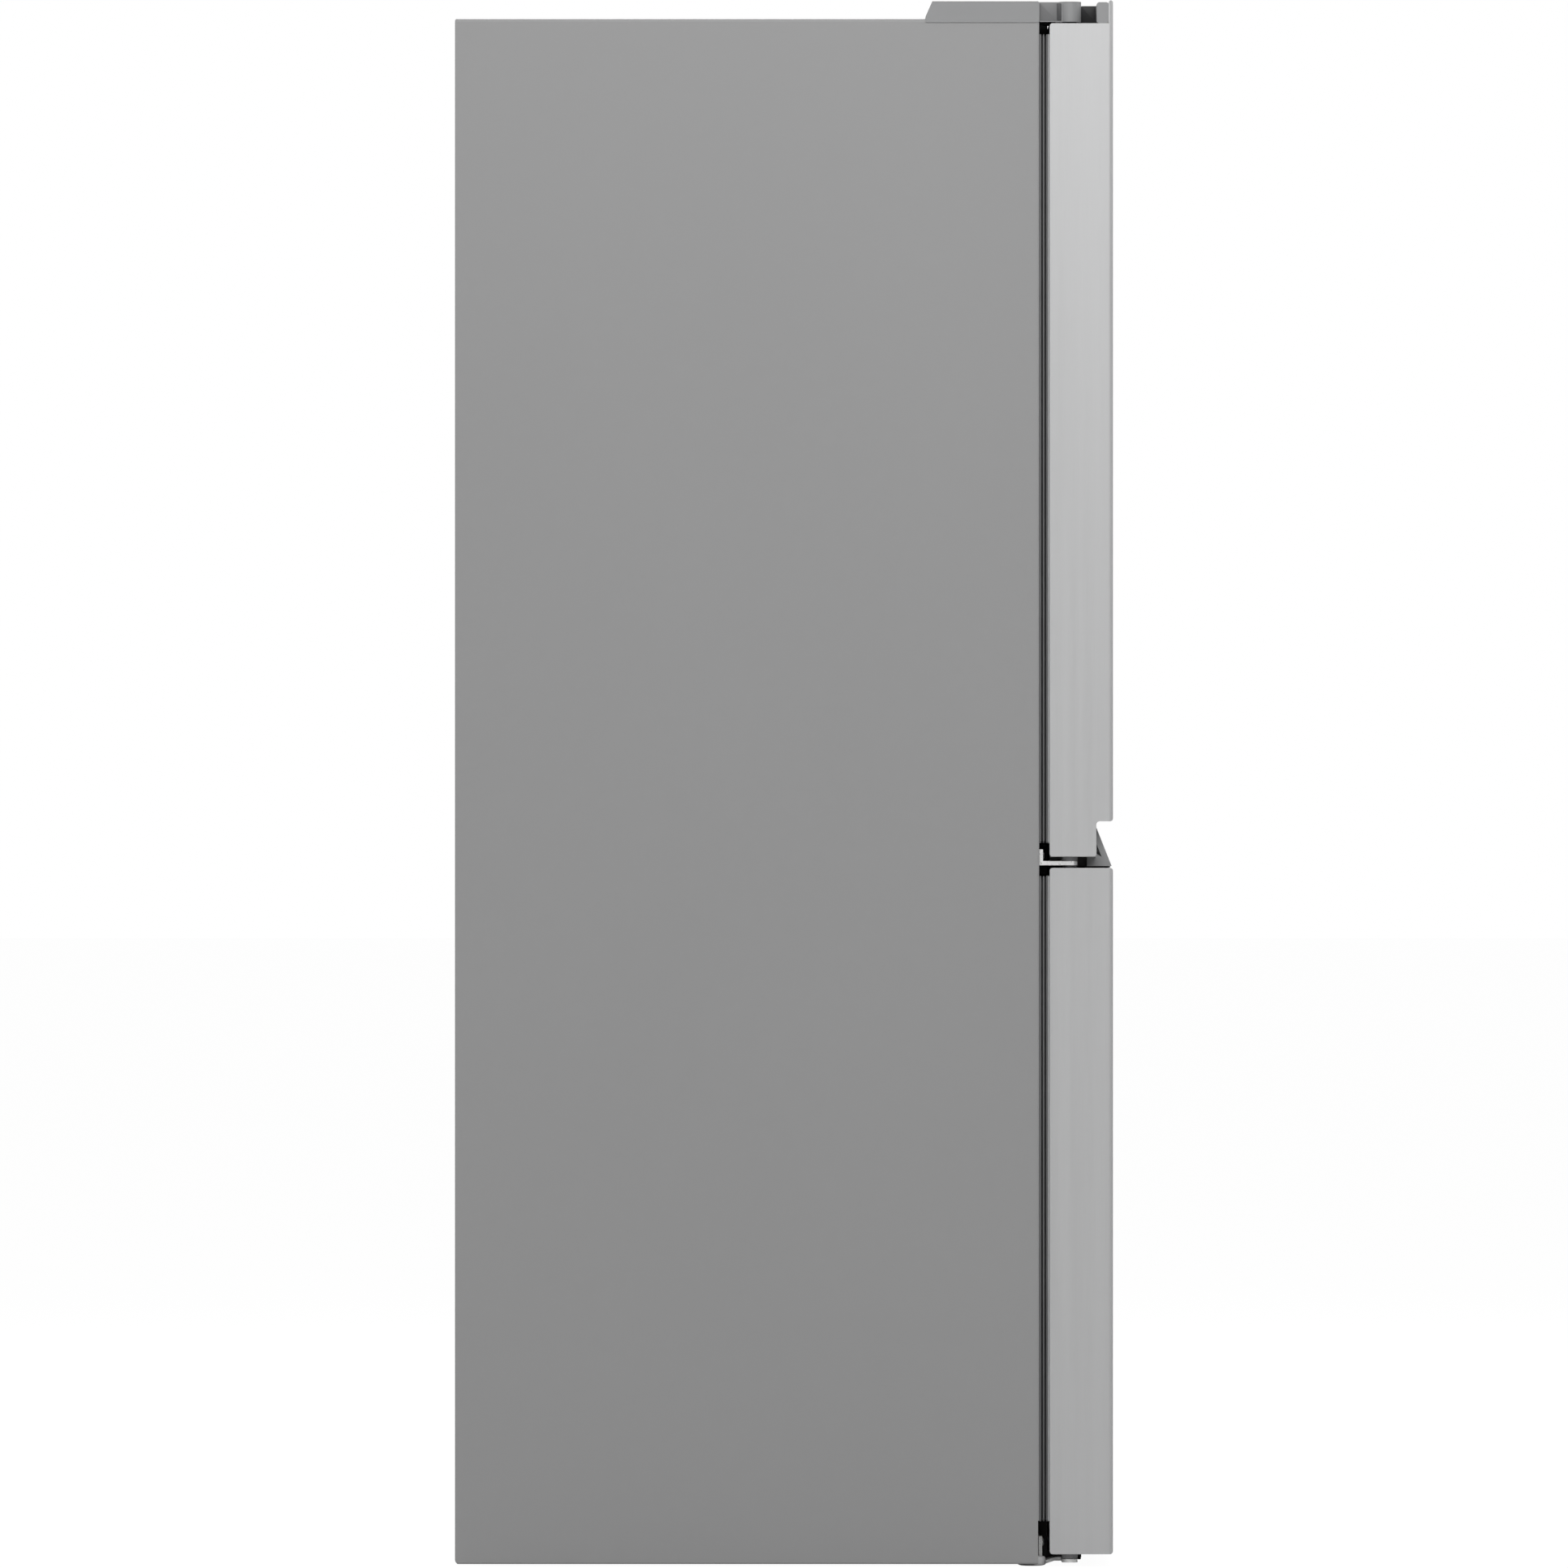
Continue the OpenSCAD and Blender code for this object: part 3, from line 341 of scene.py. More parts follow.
def new_piece(name, mesh, body, slot_name, nodes=(), material=None):
    """Links a mesh as a piece that rides on a body, takes a slot's finish and may stand for CAD nodes."""
    for polygon in mesh.polygons:
        polygon.use_smooth = True
    mesh.materials.append(material or MATERIALS[slot_name])
    obj = bpy.data.objects.new(name, mesh)
    bpy.context.collection.objects.link(obj)
    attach(obj, body)
    if nodes:
        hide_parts(*nodes)
    return obj


def rounded_rect(low, high, radius, steps=6):
    """Points of a rectangle with round corners, counter-clockwise."""
    points = []
    radius = max(radius, 0.01 * MM)
    centres = [(high[0] - radius, high[1] - radius), (low[0] + radius, high[1] - radius),
               (low[0] + radius, low[1] + radius), (high[0] - radius, low[1] + radius)]
    for quarter, (cx, cy) in enumerate(centres):
        for i in range(steps + 1):
            turn = math.pi / 2 * (quarter + i / steps)
            points.append((cx + radius * math.cos(turn), cy + radius * math.sin(turn)))
    return points


def loft(name, loops, closed=False, cap_first=False, cap_last=False):
    """Mesh through loops of equally many 3-D points; closed joins the last loop to the first."""
    count = len(loops[0])
    vertices = [p for loop in loops for p in loop]
    faces = []
    spans = len(loops) if closed else len(loops) - 1
    for i in range(spans):
        a, b = i * count, (i + 1) % len(loops) * count
        for j in range(count):
            k = (j + 1) % count
            faces.append((a + j, a + k, b + k, b + j))
    if cap_first:
        faces.append(tuple(range(count))[::-1])
    if cap_last:
        faces.append(tuple(range((len(loops) - 1) * count, len(loops) * count)))
    mesh = bpy.data.meshes.new(name)
    mesh.from_pydata(vertices, [], faces)
    tidy = bmesh.new()
    tidy.from_mesh(mesh)
    bmesh.ops.remove_doubles(tidy, verts=tidy.verts, dist=0.001 * MM)
    bmesh.ops.recalc_face_normals(tidy, faces=tidy.faces)
    tidy.to_mesh(mesh)
    tidy.free()
    return mesh


def ring(axis, low, high, inset, level, radius, steps=6):
    """A round-cornered rectangle across an axis, at a level along it; its radius follows the inset."""
    across = [k for k in range(3) if "xyz"[k] != axis]
    flat = rounded_rect([low[k] + inset for k in across], [high[k] - inset for k in across],
                        max(radius - inset, 0.6 * MM), steps)
    points = []
    for pair in flat:
        point = [level] * 3
        point[across[0]], point[across[1]] = pair
        points.append(tuple(point))
    return points


def joined(meshes):
    """One mesh from several."""
    work = bmesh.new()
    for mesh in meshes:
        work.from_mesh(mesh)
        bpy.data.meshes.remove(mesh)
    whole = bpy.data.meshes.new("joined")
    work.to_mesh(whole)
    work.free()
    return whole


def slab(axis, low, high, corner=2 * MM, edge=0.6 * MM):
    """A block with round corners seen along an axis and small round edges at both ends."""
    k = "xyz".index(axis)
    ends = [(edge, low[k]), (edge * 0.3, low[k] + edge * 0.3), (0, low[k] + edge),
            (0, high[k] - edge), (edge * 0.3, high[k] - edge * 0.3), (edge, high[k])]
    return loft("slab", [ring(axis, low, high, inset, level, corner) for inset, level in ends],
                cap_first=True, cap_last=True)


def mm(*values):
    """Millimetres as a tuple in metres."""
    return tuple(v * MM for v in values)


def side_sign(side):
    return -1 if side == "left" else 1


def mirrored(side, first, second):
    """Two X places given on the +X side, mirrored for the left side and in rising order."""
    return sorted((side_sign(side) * first, side_sign(side) * second))


def block(side, axis, low, high, corner=2, edge=0.6):
    """A slab given in millimetres on the +X side, mirrored for the left side."""
    x0, x1 = mirrored(side, low[0], high[0])
    return slab(axis, mm(x0, low[1], low[2]), mm(x1, high[1], high[2]), corner * MM, edge * MM)


def turned(axis, centre, profile, steps=32, direction=1):
    """A body of revolution through (radius, height) points; a third value makes that ring six-lobed."""
    k = "xyz".index(axis)
    across = [(k + 1) % 3, (k + 2) % 3]
    loops = []
    for radius, height, *lobe in profile:
        loop = []
        for i in range(steps):
            turn = 2 * math.pi * i / steps
            reach = radius * (1 + (lobe[0] * math.cos(6 * turn) if lobe else 0))
            point = list(centre)
            point[across[0]] += reach * math.cos(turn)
            point[across[1]] += reach * math.sin(turn)
            point[k] += direction * height
            loop.append(tuple(point))
        loops.append(loop)
    return loft("turned", loops, cap_first=True, cap_last=True)


def tub(low, high, wall, corner, lip=2.5 * MM, draft=1.5 * MM):
    """An open tub with a rolled lip, drafted walls and a soft-edged floor."""
    top, bottom = high[2], low[2]
    foot = lip + draft
    outside = [(foot + 4 * MM, bottom), (foot + 1 * MM, bottom + 1.2 * MM), (foot, bottom + 5 * MM),
               (lip, top - 6 * MM), (lip * 0.3, top - 5 * MM), (0, top - 4 * MM), (0, top - 1 * MM),
               (0.6 * MM, top)]
    inside = [(lip + wall - 0.5 * MM, top), (lip + wall, top - 1 * MM), (lip + wall, top - 6 * MM),
              (foot + wall, bottom + 6 * MM), (foot + wall + 4 * MM, bottom + wall)]
    return loft("tub", [ring("z", low, high, inset, level, corner) for inset, level in outside + inside],
                cap_first=True, cap_last=True)


def panel(low, high, corner, hole_low, hole_high, depth=None, edge=1.2 * MM):
    """A panel facing -Y with round edges and a slot through it, or a finger recess of that depth."""
    front, back = low[1], high[1]
    outer = [(edge, back), (0, back - edge), (0, front + edge), (edge * 0.3, front + edge * 0.3),
             (edge, front)]
    loops = [ring("y", low, high, inset, level, corner) for inset, level in outer]
    hole = [(-0.8 * MM, front), (0, front + 0.8 * MM)]
    through = depth is None
    hole += [(0, back)] if through else [(0.5 * MM, front + depth - 2 * MM), (2.5 * MM, front + depth)]
    loops += [ring("y", hole_low, hole_high, inset, level, 4 * MM) for inset, level in hole]
    return loft("panel", loops, closed=through, cap_first=not through, cap_last=not through)


# ---------------------------------------------------------------- gaskets

# Half section of a gasket: distance from the cabinet's front and set-back from its outer edge, in mm.
# Three rounded ribs with two deep folds between them, the magnet strip against the cabinet.
RIB_SIDE = [(0.5, 1.2), (0.65, 0.4), (1.1, 0.05), (2.2, 0.05), (2.7, 0.5), (2.95, 1.6), (3.1, 4.6),
            (4.25, 4.6), (4.5, 1.6), (4.75, 0.5), (5.1, 0.15), (6.0, 0.15), (6.35, 0.5), (6.6, 1.6),
            (6.8, 4.6), (8.0, 4.6), (8.2, 1.6), (8.5, 0.4), (9.0, 0.05), (9.8, 0.05), (10.3, 0.5),
            (10.5, 1.4)]
# Section of the near-black core that paints the shade seen in the folds, measured the same way
FOLD_SHADE_CORE = [(0.9, 3), (10.2, 3), (10.2, 19), (0.9, 19)]
GASKET_WIDTH = 22
GASKET_GAP = 0.5


def gasket(valve, side):
    """A door's ribbed magnetic gasket, with a near-black core behind its folds that paints their shade."""
    node = f"{valve}_{side}_gasket"
    body = f"{valve}_{side}_door"
    low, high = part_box(node)
    cabinet_y = high[1] + GASKET_GAP * MM
    section = RIB_SIDE + [(depth, GASKET_WIDTH - inset) for depth, inset in reversed(RIB_SIDE)]
    loops = [ring("y", low, high, inset * MM, cabinet_y - depth * MM, (2.5 + inset * 1.2) * MM, 3)
             for depth, inset in section]
    new_piece(f"{node}_bellows", loft("bellows", loops, closed=True), body, "gasket", [node])
    loops = [ring("y", low, high, inset * MM, cabinet_y - depth * MM, 6 * MM, 3)
             for depth, inset in FOLD_SHADE_CORE]
    new_piece(f"{node}_folds", loft("fold_shade", loops, closed=True), body, "gasket", material=SHADE_BLACK)


for valve, side in DOORS:
    gasket(valve, side)


# ---------------------------------------------------------------- formed liners

# Section of a dike: set-back from its outer edge and height over the panel, in mm
RISE = [(-1.2, 0.9), (0, 4), (0.6, 22), (1.0, 39), (2.2, 43), (5, 45), (9, 45), (11.8, 43), (13, 39),
        (13.6, 22), (14.4, 5), (16, 1.6), (19, 0.2), (26, 0)]
DIKE_TOP, DIKE_MIDDLE = 45, 7
DIKE_X = (42, 360)
DIKE_Z = {"upper": (856, 1700), "lower": (84, 752)}
DIKE_CORNER = 26 * MM
LINER_SHEET = 1.5 * MM
FRAME_SHEET = 0.9 * MM
# Where a door's foam is split into its main block and the slab behind the door's front, in mm
MAIN_FOAM_Y, SLAB_FOAM_Y = -350.8, -351
SLAB_FOAM_Z = {"upper": (892, 1724), "lower": (42, 758)}
SLAB_CORNER = 6.5 * MM


def dike_corners(valve, side):
    """Opposite corners of a dike's outline; their Y is not used."""
    x0, x1 = mirrored(side, *DIKE_X)
    z0, z1 = DIKE_Z[valve]
    return mm(x0, 0, z0), mm(x1, 0, z1)


def door_liner(valve, side):
    """A door's inner panel with its flange, raised dike and recessed middle."""
    node = f"{valve}_{side}_liner"
    low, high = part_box(node)
    dike = dike_corners(valve, side)
    flange_y = low[1] + LINER_SHEET
    loops = [ring("y", low, high, 0, flange_y - 1.4 * MM, 3 * MM), ring("y", low, high, 0, flange_y, 3 * MM),
             ring("y", *dike, -4 * MM, flange_y, DIKE_CORNER)]
    for inset, height in RISE:
        level = flange_y + height * (high[1] - flange_y) / DIKE_TOP
        loops.append(ring("y", *dike, inset * MM, level, DIKE_CORNER))
    mesh = loft("liner", loops, cap_last=True)
    new_piece(f"{node}_formed", mesh, f"{valve}_{side}_door", "white_plastic", [node])


def rear_frame(valve, side):
    """Frame between a door's skin and its inner panel, which covers the foam round the panel's edge."""
    low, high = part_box(f"{valve}_{side}_foam")
    panel_low, panel_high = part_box(f"{valve}_{side}_liner")
    back = panel_low[1]
    gap, lap, bar = 0.1 * MM, 1.5 * MM, 4 * MM
    hole_low = (panel_low[0] + lap, 0, max(low[2] + bar, panel_low[2] + lap))
    hole_high = (panel_high[0] - lap, 0, min(high[2] - bar, panel_high[2] - lap))
    mesh = panel((low[0] + gap, back - FRAME_SHEET, low[2] + gap),
                 (high[0] - gap, back - gap / 2, high[2] - gap), 1 * MM, hole_low, hole_high, edge=0.2 * MM)
    new_piece(f"{valve}_{side}_rear_frame", mesh, f"{valve}_{side}_door", "cap_plastic")


def foam_core(valve, side):
    """A door's foam: the main block, the slab behind the door's front and the filling of the dike."""
    foam = f"{valve}_{side}_foam"
    low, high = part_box(foam)
    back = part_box(f"{valve}_{side}_liner")[0][1]
    dike = dike_corners(valve, side)
    loops = [ring("y", *dike, inset * MM + (LINER_SHEET if inset < DIKE_MIDDLE else -LINER_SHEET),
                  min(back + height * MM, high[1]), DIKE_CORNER) for inset, height in RISE]
    slab_z = mm(*SLAB_FOAM_Z[valve])
    main_back = back - FRAME_SHEET - 0.1 * MM
    filling = [slab("z", (low[0], MAIN_FOAM_Y * MM, low[2]), (high[0], main_back, high[2])),
               slab("z", (low[0], low[1], slab_z[0]), (high[0], SLAB_FOAM_Y * MM, slab_z[1]), SLAB_CORNER),
               loft("dike", loops, cap_first=True, cap_last=True)]
    new_piece(f"{foam}_core", joined(filling), f"{valve}_{side}_door", "foam", [foam])


for valve, side in DOORS:
    door_liner(valve, side)
    rear_frame(valve, side)
    foam_core(valve, side)


# ---------------------------------------------------------------- door fittings

# Corners of the hollow in the slanted grip shell, as Y and Z, and its two stretches along X
GRIP_HOLLOW = [(-355.2, 820), (-355.2, 810.2), (-361.3, 806.7)]
GRIP_ENDS = [("outer", 326.9, 390.2), ("inner", 3.9, 62.1)]
# Black seal lips of a pair of doors, painted shade in the slits they close: door, name, opposite corners,
# corner radius and end rounding.
# Three close the slits round the middle hinge, two run along the pair's top and bottom rear edges.
LIPS = [
    ("upper", "front_lip", (6, -371.5, 794.35), (389, -344, 795.9), 0.5, 0.3),
    ("upper", "bottom_lip", (6, -343, 802.4), (356, -304, 806.6), 1, 0.4),
    ("lower", "top_lip", (6, -343, 793.6), (356, -304, 796.6), 1, 0.4),
    ("upper", "rear_lip", (8, -309, 1749), (388, -302.3, 1756.6), 1, 0.4),
    ("lower", "rear_lip", (8, -309, 12.9), (320, -302.3, 19), 0.8, 0.3),
]
# Section of the sleeve round a hinge pin, as radius and height, and the height of each door's pin
SLEEVE = [(5.3, 0), (7.6, 0), (8.2, 0.4), (8.2, 2), (7.6, 2.4), (5.3, 2.4)]
SLEEVE_Z = {"upper": 1754, "lower": 794.2}


def door_fittings(side):
    """Near-black pieces that paint the shade inside the grip shell and the top cap's recess, black seal lips
    that paint the shade in slits, and sleeves round the hinge pins.
    """
    sign = side_sign(side)
    upper = f"upper_{side}_door"
    # Near-black fill of the grip shell's hollow: painted shade
    for name, x0, x1 in GRIP_ENDS:
        loops = [[mm(sign * x, y, z) for y, z in GRIP_HOLLOW] for x in (x0, x1)]
        mesh = loft("grip", loops, cap_first=True, cap_last=True)
        new_piece(f"upper_{side}_grip_{name}_dark", mesh, upper, "cap_plastic", material=SHADE_BLACK)
    # Near-black block in the top cap's recess: painted shade
    mesh = block(side, "x", (3.2, -358.8, 1754.4), (367, -338.6, 1776.4), 1, 0.3)
    new_piece(f"upper_{side}_cap_recess_shade", mesh, upper, "cap_plastic", material=SHADE_BLACK)
    # Black lips in the slits between and behind the doors: painted shade
    for valve, name, low, high, corner, edge in LIPS:
        mesh = block(side, "x", low, high, corner, edge)
        new_piece(f"{valve}_{side}_{name}", mesh, f"{valve}_{side}_door", "black_plastic")
    for valve, z in SLEEVE_Z.items():
        mesh = turned("z", mm(sign * PIN_X, PIN_Y, z), [mm(r, h) for r, h in SLEEVE])
        new_piece(f"{valve}_{side}_pin_sleeve", mesh, f"{valve}_{side}_door", "roller_plastic")


def cover_details(side):
    """Darker patch on the neck of a hinge cover and a near-black strip in the groove between the neck and the
    boss, both painted shade.
    """
    shade_patch = block(side, "x", (407.5, -311, 1757.3), (408.9, -290.8, 1777.6), 1, 0.3)
    new_piece(f"cover_{side}_neck_shade_patch", shade_patch, "root", "cover_plastic", material=NECK_SHADE_PLASTIC)
    groove = block(side, "x", (407.5, -315.5, 1757.6), (409.9, -310.4, 1777.2), 1, 0.3)
    new_piece(f"cover_{side}_neck_groove_shade", groove, "root", "cover_plastic", material=GROOVE_SHADE_PLASTIC)


def guide_end(side):
    """Black plate that closes the end of the air guide under the doors and paints the shade there."""
    mesh = block(side, "x", (316, -339.6, 2.5), (320.4, -289.6, 12.4), 1, 0.4)
    new_piece(f"air_guide_{side}_end", mesh, "root", "black_plastic")


for side in SIDES:
    door_fittings(side)
    cover_details(side)
    guide_end(side)


# ---------------------------------------------------------------- bins, shelves and drawers

def door_bins(side):
    """Three clear bins with rolled lips, each with a pale retaining band across its front."""
    node = f"upper_{side}_bins"
    x0, x1 = mirrored(side, 58, 344)
    tubs, bands = [], []
    for z in BIN_LEVELS:
        tubs.append(tub(mm(x0, -299.5, z), mm(x1, -195.8, z + 96), 2.4 * MM, 12 * MM))
        bands.append(slab("z", mm(x0 + 1, -201, z + 62), mm(x1 - 1, -195, z + 82), 3 * MM, 0.8 * MM))
    body = f"upper_{side}_door"
    new_piece(f"{node}_tubs", joined(tubs), body, "clear_plastic", [node])
    round_edges(new_piece(f"{node}_bands", joined(bands), body, "white_plastic", [node]), 0.3 * MM)


def shelves():
    """Glass panes held between a front rail with a bright strip and a rear rail."""
    panes, rails, strips = [], [], []
    for z in SHELF_LEVELS:
        panes.append(slab("z", mm(-361.2, -165, z), mm(361.2, 273, z + 4), 3 * MM, 0.5 * MM))
        rails.append(slab("x", mm(-361.3, -177.4, z - 3), mm(361.3, -162, z + 9), 2.5 * MM, 1 * MM))
        rails.append(slab("x", mm(-361.3, 270, z - 3), mm(361.3, 284, z + 14), 2.5 * MM, 1 * MM))
        strips.append(slab("x", mm(-356, -178, z - 0.5), mm(356, -176.6, z + 6.5), 0.6 * MM, 0.4 * MM))
        for side in SIDES:
            rails.append(block(side, "y", (361.2, -160, z - 2.4), (352, 268, z + 5.6), 1.2, 1))
    new_piece("shelf_panes", joined(panes), "root", "shelf_glass", ["glass_shelves"])
    new_piece("shelf_rails", joined(rails), "root", "white_plastic", ["glass_shelves"])
    new_piece("shelf_strips", joined(strips), "root", "hinge_metal", ["glass_shelves"])


def crisper_drawers():
    """Two clear crispers; each front has a slot for its humidity slider and a grip lip below it."""
    tubs, fronts, lips = [], [], []
    for side in SIDES:
        x0, x1 = mirrored(side, 6, 345.3)
        slot0, slot1 = mirrored(side, 116, 184)
        tubs.append(tub(mm(x0, -170, 852.5), mm(x1, 274, 1020.5), 2.6 * MM, 14 * MM, 3 * MM, 3 * MM))
        fronts.append(panel(mm(x0, -174, 856.5), mm(x1, -169.2, 1019.5), 4 * MM,
                            mm(slot0, 0, 998.4), mm(slot1, 0, 1004.6)))
        lips.append(slab("x", mm(x0 + 18, -176, 970), mm(x1 - 18, -173.2, 980), 1.4 * MM, 1 * MM))
    new_piece("crisper_tubs", joined(tubs), "root", "clear_plastic", ["crispers"])
    new_piece("crisper_fronts", joined(fronts), "root", "frosted_plastic", ["crispers"])
    new_piece("crisper_lips", joined(lips), "root", "white_plastic", ["crispers"])


# Freezer drawers from the bottom up: how far back each reaches and its height. The lowest one stops
# in front of the machine space.
DRAWERS = [(100, 208), (236, 194), (236, 194)]
DRAWER_Z, DRAWER_PITCH = 80.5, 224


def freezer_drawers(side):
    """Three frosted drawers with rolled lips, side ribs and fronts with a finger recess."""
    node = f"freezer_drawers_{side}"
    x0, x1 = mirrored(side, 38, 355.3)
    middle = (x0 + x1) / 2
    tubs, fronts = [], []
    for i, (back, tall) in enumerate(DRAWERS):
        z = DRAWER_Z + DRAWER_PITCH * i
        tubs.append(tub(mm(x0, -219, z), mm(x1, back, z + tall - 24), 2.6 * MM, 10 * MM, 3 * MM, 3 * MM))
        fronts.append(panel(mm(x0 - 3, -228, z + 2), mm(x1 + 3, -218, z + tall), 3 * MM,
                            mm(middle - 95, 0, z + tall - 52), mm(middle + 95, 0, z + tall - 18),
                            7 * MM, 2 * MM))
        for y in range(-160, back - 30, 60):
            for x in (x0 + 2.4, x1 - 2.4):
                tubs.append(slab("z", mm(x - 1.6, y - 3, z + 16), mm(x + 1.6, y + 3, z + tall - 32), 1 * MM))
    new_piece(f"{node}_tubs", joined(tubs), "root", "frosted_plastic", [node])
    new_piece(f"{node}_fronts", joined(fronts), "root", "clear_plastic", [node], FRONT_PLASTIC)


def cabinet_liner():
    """Formed fresh-food liner with round inner corners, wall ribs and shelf ledges."""
    low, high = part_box("fridge_liner")
    front, back = low[1], high[1]
    outside = [(0.2, back), (0, back - 0.4 * MM), (0, front)]
    inside = [(1.5, front, 18), (1.7, front + 20 * MM, 20), (3, back - 16 * MM, 24), (5, back - 8 * MM, 26),
              (9, back - 3 * MM, 30), (16, back - 1.5 * MM, 36)]
    loops = [ring("y", low, high, inset * MM, y, 0.8 * MM, 8) for inset, y in outside]
    loops += [ring("y", low, high, inset * MM, y, (inset + corner) * MM, 8) for inset, y, corner in inside]
    parts = [loft("liner", loops, cap_first=True, cap_last=True)]
    for side in SIDES:
        for z in SHELF_LEVELS:
            parts.append(block(side, "y", (353.2, -160, z - 9), (364, 268, z - 0.4), 2.5, 1.5))
        parts.append(block(side, "y", (346.5, -150, 1021.4), (364, 240, 1026), 2, 1.5))
    for x in range(-280, 281, 140):
        parts.append(slab("z", mm(x - 22, 308.5, 1060), mm(x + 22, 313, 1640), 4 * MM, 3 * MM))
    new_piece("fridge_liner_formed", joined(parts), "root", "white_plastic", ["fridge_liner"])


# Low round head with a six-lobed recess, as radius, height and depth of the lobes
SCREW_HEAD = [(4.2 * MM, 0), (4.2 * MM, 0.4 * MM), (3.4 * MM, 1 * MM), (2.4 * MM, 1.2 * MM),
              (1.9 * MM, 1.2 * MM, 0.16), (1.7 * MM, 0.5 * MM, 0.16), (0.1 * MM, 0.5 * MM)]


def back_details():
    """Embossed beads and screws on the back panel, flanges and screws on the machine cover."""
    beads = []
    for x in (-330, -165, 0, 165, 330):
        beads.append(slab("y", mm(x - 7, BACK_FACE, 330), mm(x + 7, 373.7, 1660), 7 * MM, 0.5 * MM))
    for z in (290, 1700):
        beads.append(slab("y", mm(-370, BACK_FACE, z - 6), mm(370, 373.6, z + 6), 6 * MM, 0.4 * MM))
    for side in SIDES:
        beads.append(block(side, "y", (403.6, 371.4, 30), (413.9, BACK_FACE, 233), 0.6, 0.3))
    new_piece("back_beads", joined(beads), "root", "galvanised")
    spots = [(403, z) for z in (300, 640, 980, 1320, 1660)] + [(250, 1740), (395, 60), (395, 225), (140, 225)]
    places = [(sign * x, z) for sign in (-1, 1) for x, z in spots] + [(0, 1740)]
    heads = [turned("y", mm(x, BACK_FACE, z), SCREW_HEAD, 24) for x, z in places]
    new_piece("back_screws", joined(heads), "root", "hinge_metal")


def hinge_screws():
    """All hinge screws with six-lobed recesses, in place of the plain ones."""
    screws = []
    tall = [(r * 1.35, h * 1.9, *lobe) for r, h, *lobe in SCREW_HEAD]
    front = [(r * 1.05, h * 1.6, *lobe) for r, h, *lobe in SCREW_HEAD]
    for sign in (-1, 1):
        for y in (-260, -220):
            for x in (346.5, 386.5):
                screws.append(turned("z", mm(sign * x, y, 1763.1), tall, 24))
                screws.append(turned("z", mm(sign * x, y, 1759.1), [mm(3, 0), mm(3, 4.4)], 16))
        for z, xs in ((808, (350.5, 370.5)), (24.5, (334.5, 360.5))):
            for x in xs:
                screws.append(turned("y", mm(sign * x, -294.5, z), front, 24, -1))
                screws.append(turned("y", mm(sign * x, -290.2, z), [mm(2.4, 0), mm(2.4, 4.5)], 16, -1))
    new_piece("hinge_screw_set", joined(screws), "root", "hinge_metal", ["hinge_screws"])


# Foot pad up to its stem, as radius, height and depth of the lobes; then the thread's root and crest
FOOT_PAD = [(0.1, 0), (13, 0), (15.4, 0.8), (16, 2.4), (16, 7.5, 0.02), (15.4, 9.6, 0.02), (13, 10.5),
            (6, 10.6)]
THREAD_ROOT, THREAD_CREST, THREAD_PITCH, THREAD_TURNS = 4.2, 5, 1.55, 26
# Section of a roller from one end to the other, as radius and place along its axle
TREAD = [(4.05, 0), (7, 0), (7.4, 0.8), (7.6, 2.4), (15, 2.4), (15.6, 0.4), (18.6, 0), (20, 1.4), (20, 8),
         (19.2, 8.6), (19.2, 9.6), (20, 10.2), (20, 17.8), (19.2, 18.4), (19.2, 19.4), (20, 20), (20, 26.6),
         (18.6, 28), (15.6, 27.6), (15, 25.6), (7.6, 25.6), (7.4, 27.2), (7, 28), (4.05, 28)]
ROLLER_WIDTH = 28


def rolling_parts():
    """Levelling feet with threaded stems and lobed pads, and rollers with grooved treads."""
    for side in SIDES:
        sign = side_sign(side)
        stem = list(FOOT_PAD)
        for i in range(THREAD_TURNS):
            rise = i * THREAD_PITCH
            stem += [(THREAD_ROOT, 11.2 + rise), (THREAD_CREST, 11.9 + rise)]
        stem += [(THREAD_ROOT, 51.4), (0.1, 52)]
        profile = [(r * MM, h * MM, *lobe) for r, h, *lobe in stem]
        foot = turned("z", mm(sign * 388.5, -282, 0), profile, 48)
        new_piece(f"foot_{side}_threaded", foot, f"foot_{side}", "foot_plastic", [f"foot_{side}"])
        place = mm(sign * 355.3 - ROLLER_WIDTH / 2, 324, 20)
        wheel = turned("x", place, [mm(r, h) for r, h in TREAD], 48)
        new_piece(f"roller_{side}_wheel", wheel, f"roller_{side}", "roller_plastic", [f"roller_{side}"])


# Section of the compressor's shell with its weld seam, and of its rubber mounts, as radius and height
SHELL = [(50, 0), (62, 4), (67, 14), (68, 24), (68, 52), (70.6, 54), (70.6, 58), (68, 60), (68, 98),
         (66, 114), (60, 130), (49, 143), (34, 151), (16, 155.4), (0.1, 156)]
GROMMET = [(8, 0), (11, 1), (11, 5), (8.6, 6.4), (8.6, 8.4), (11, 10), (11, 14), (8, 15)]


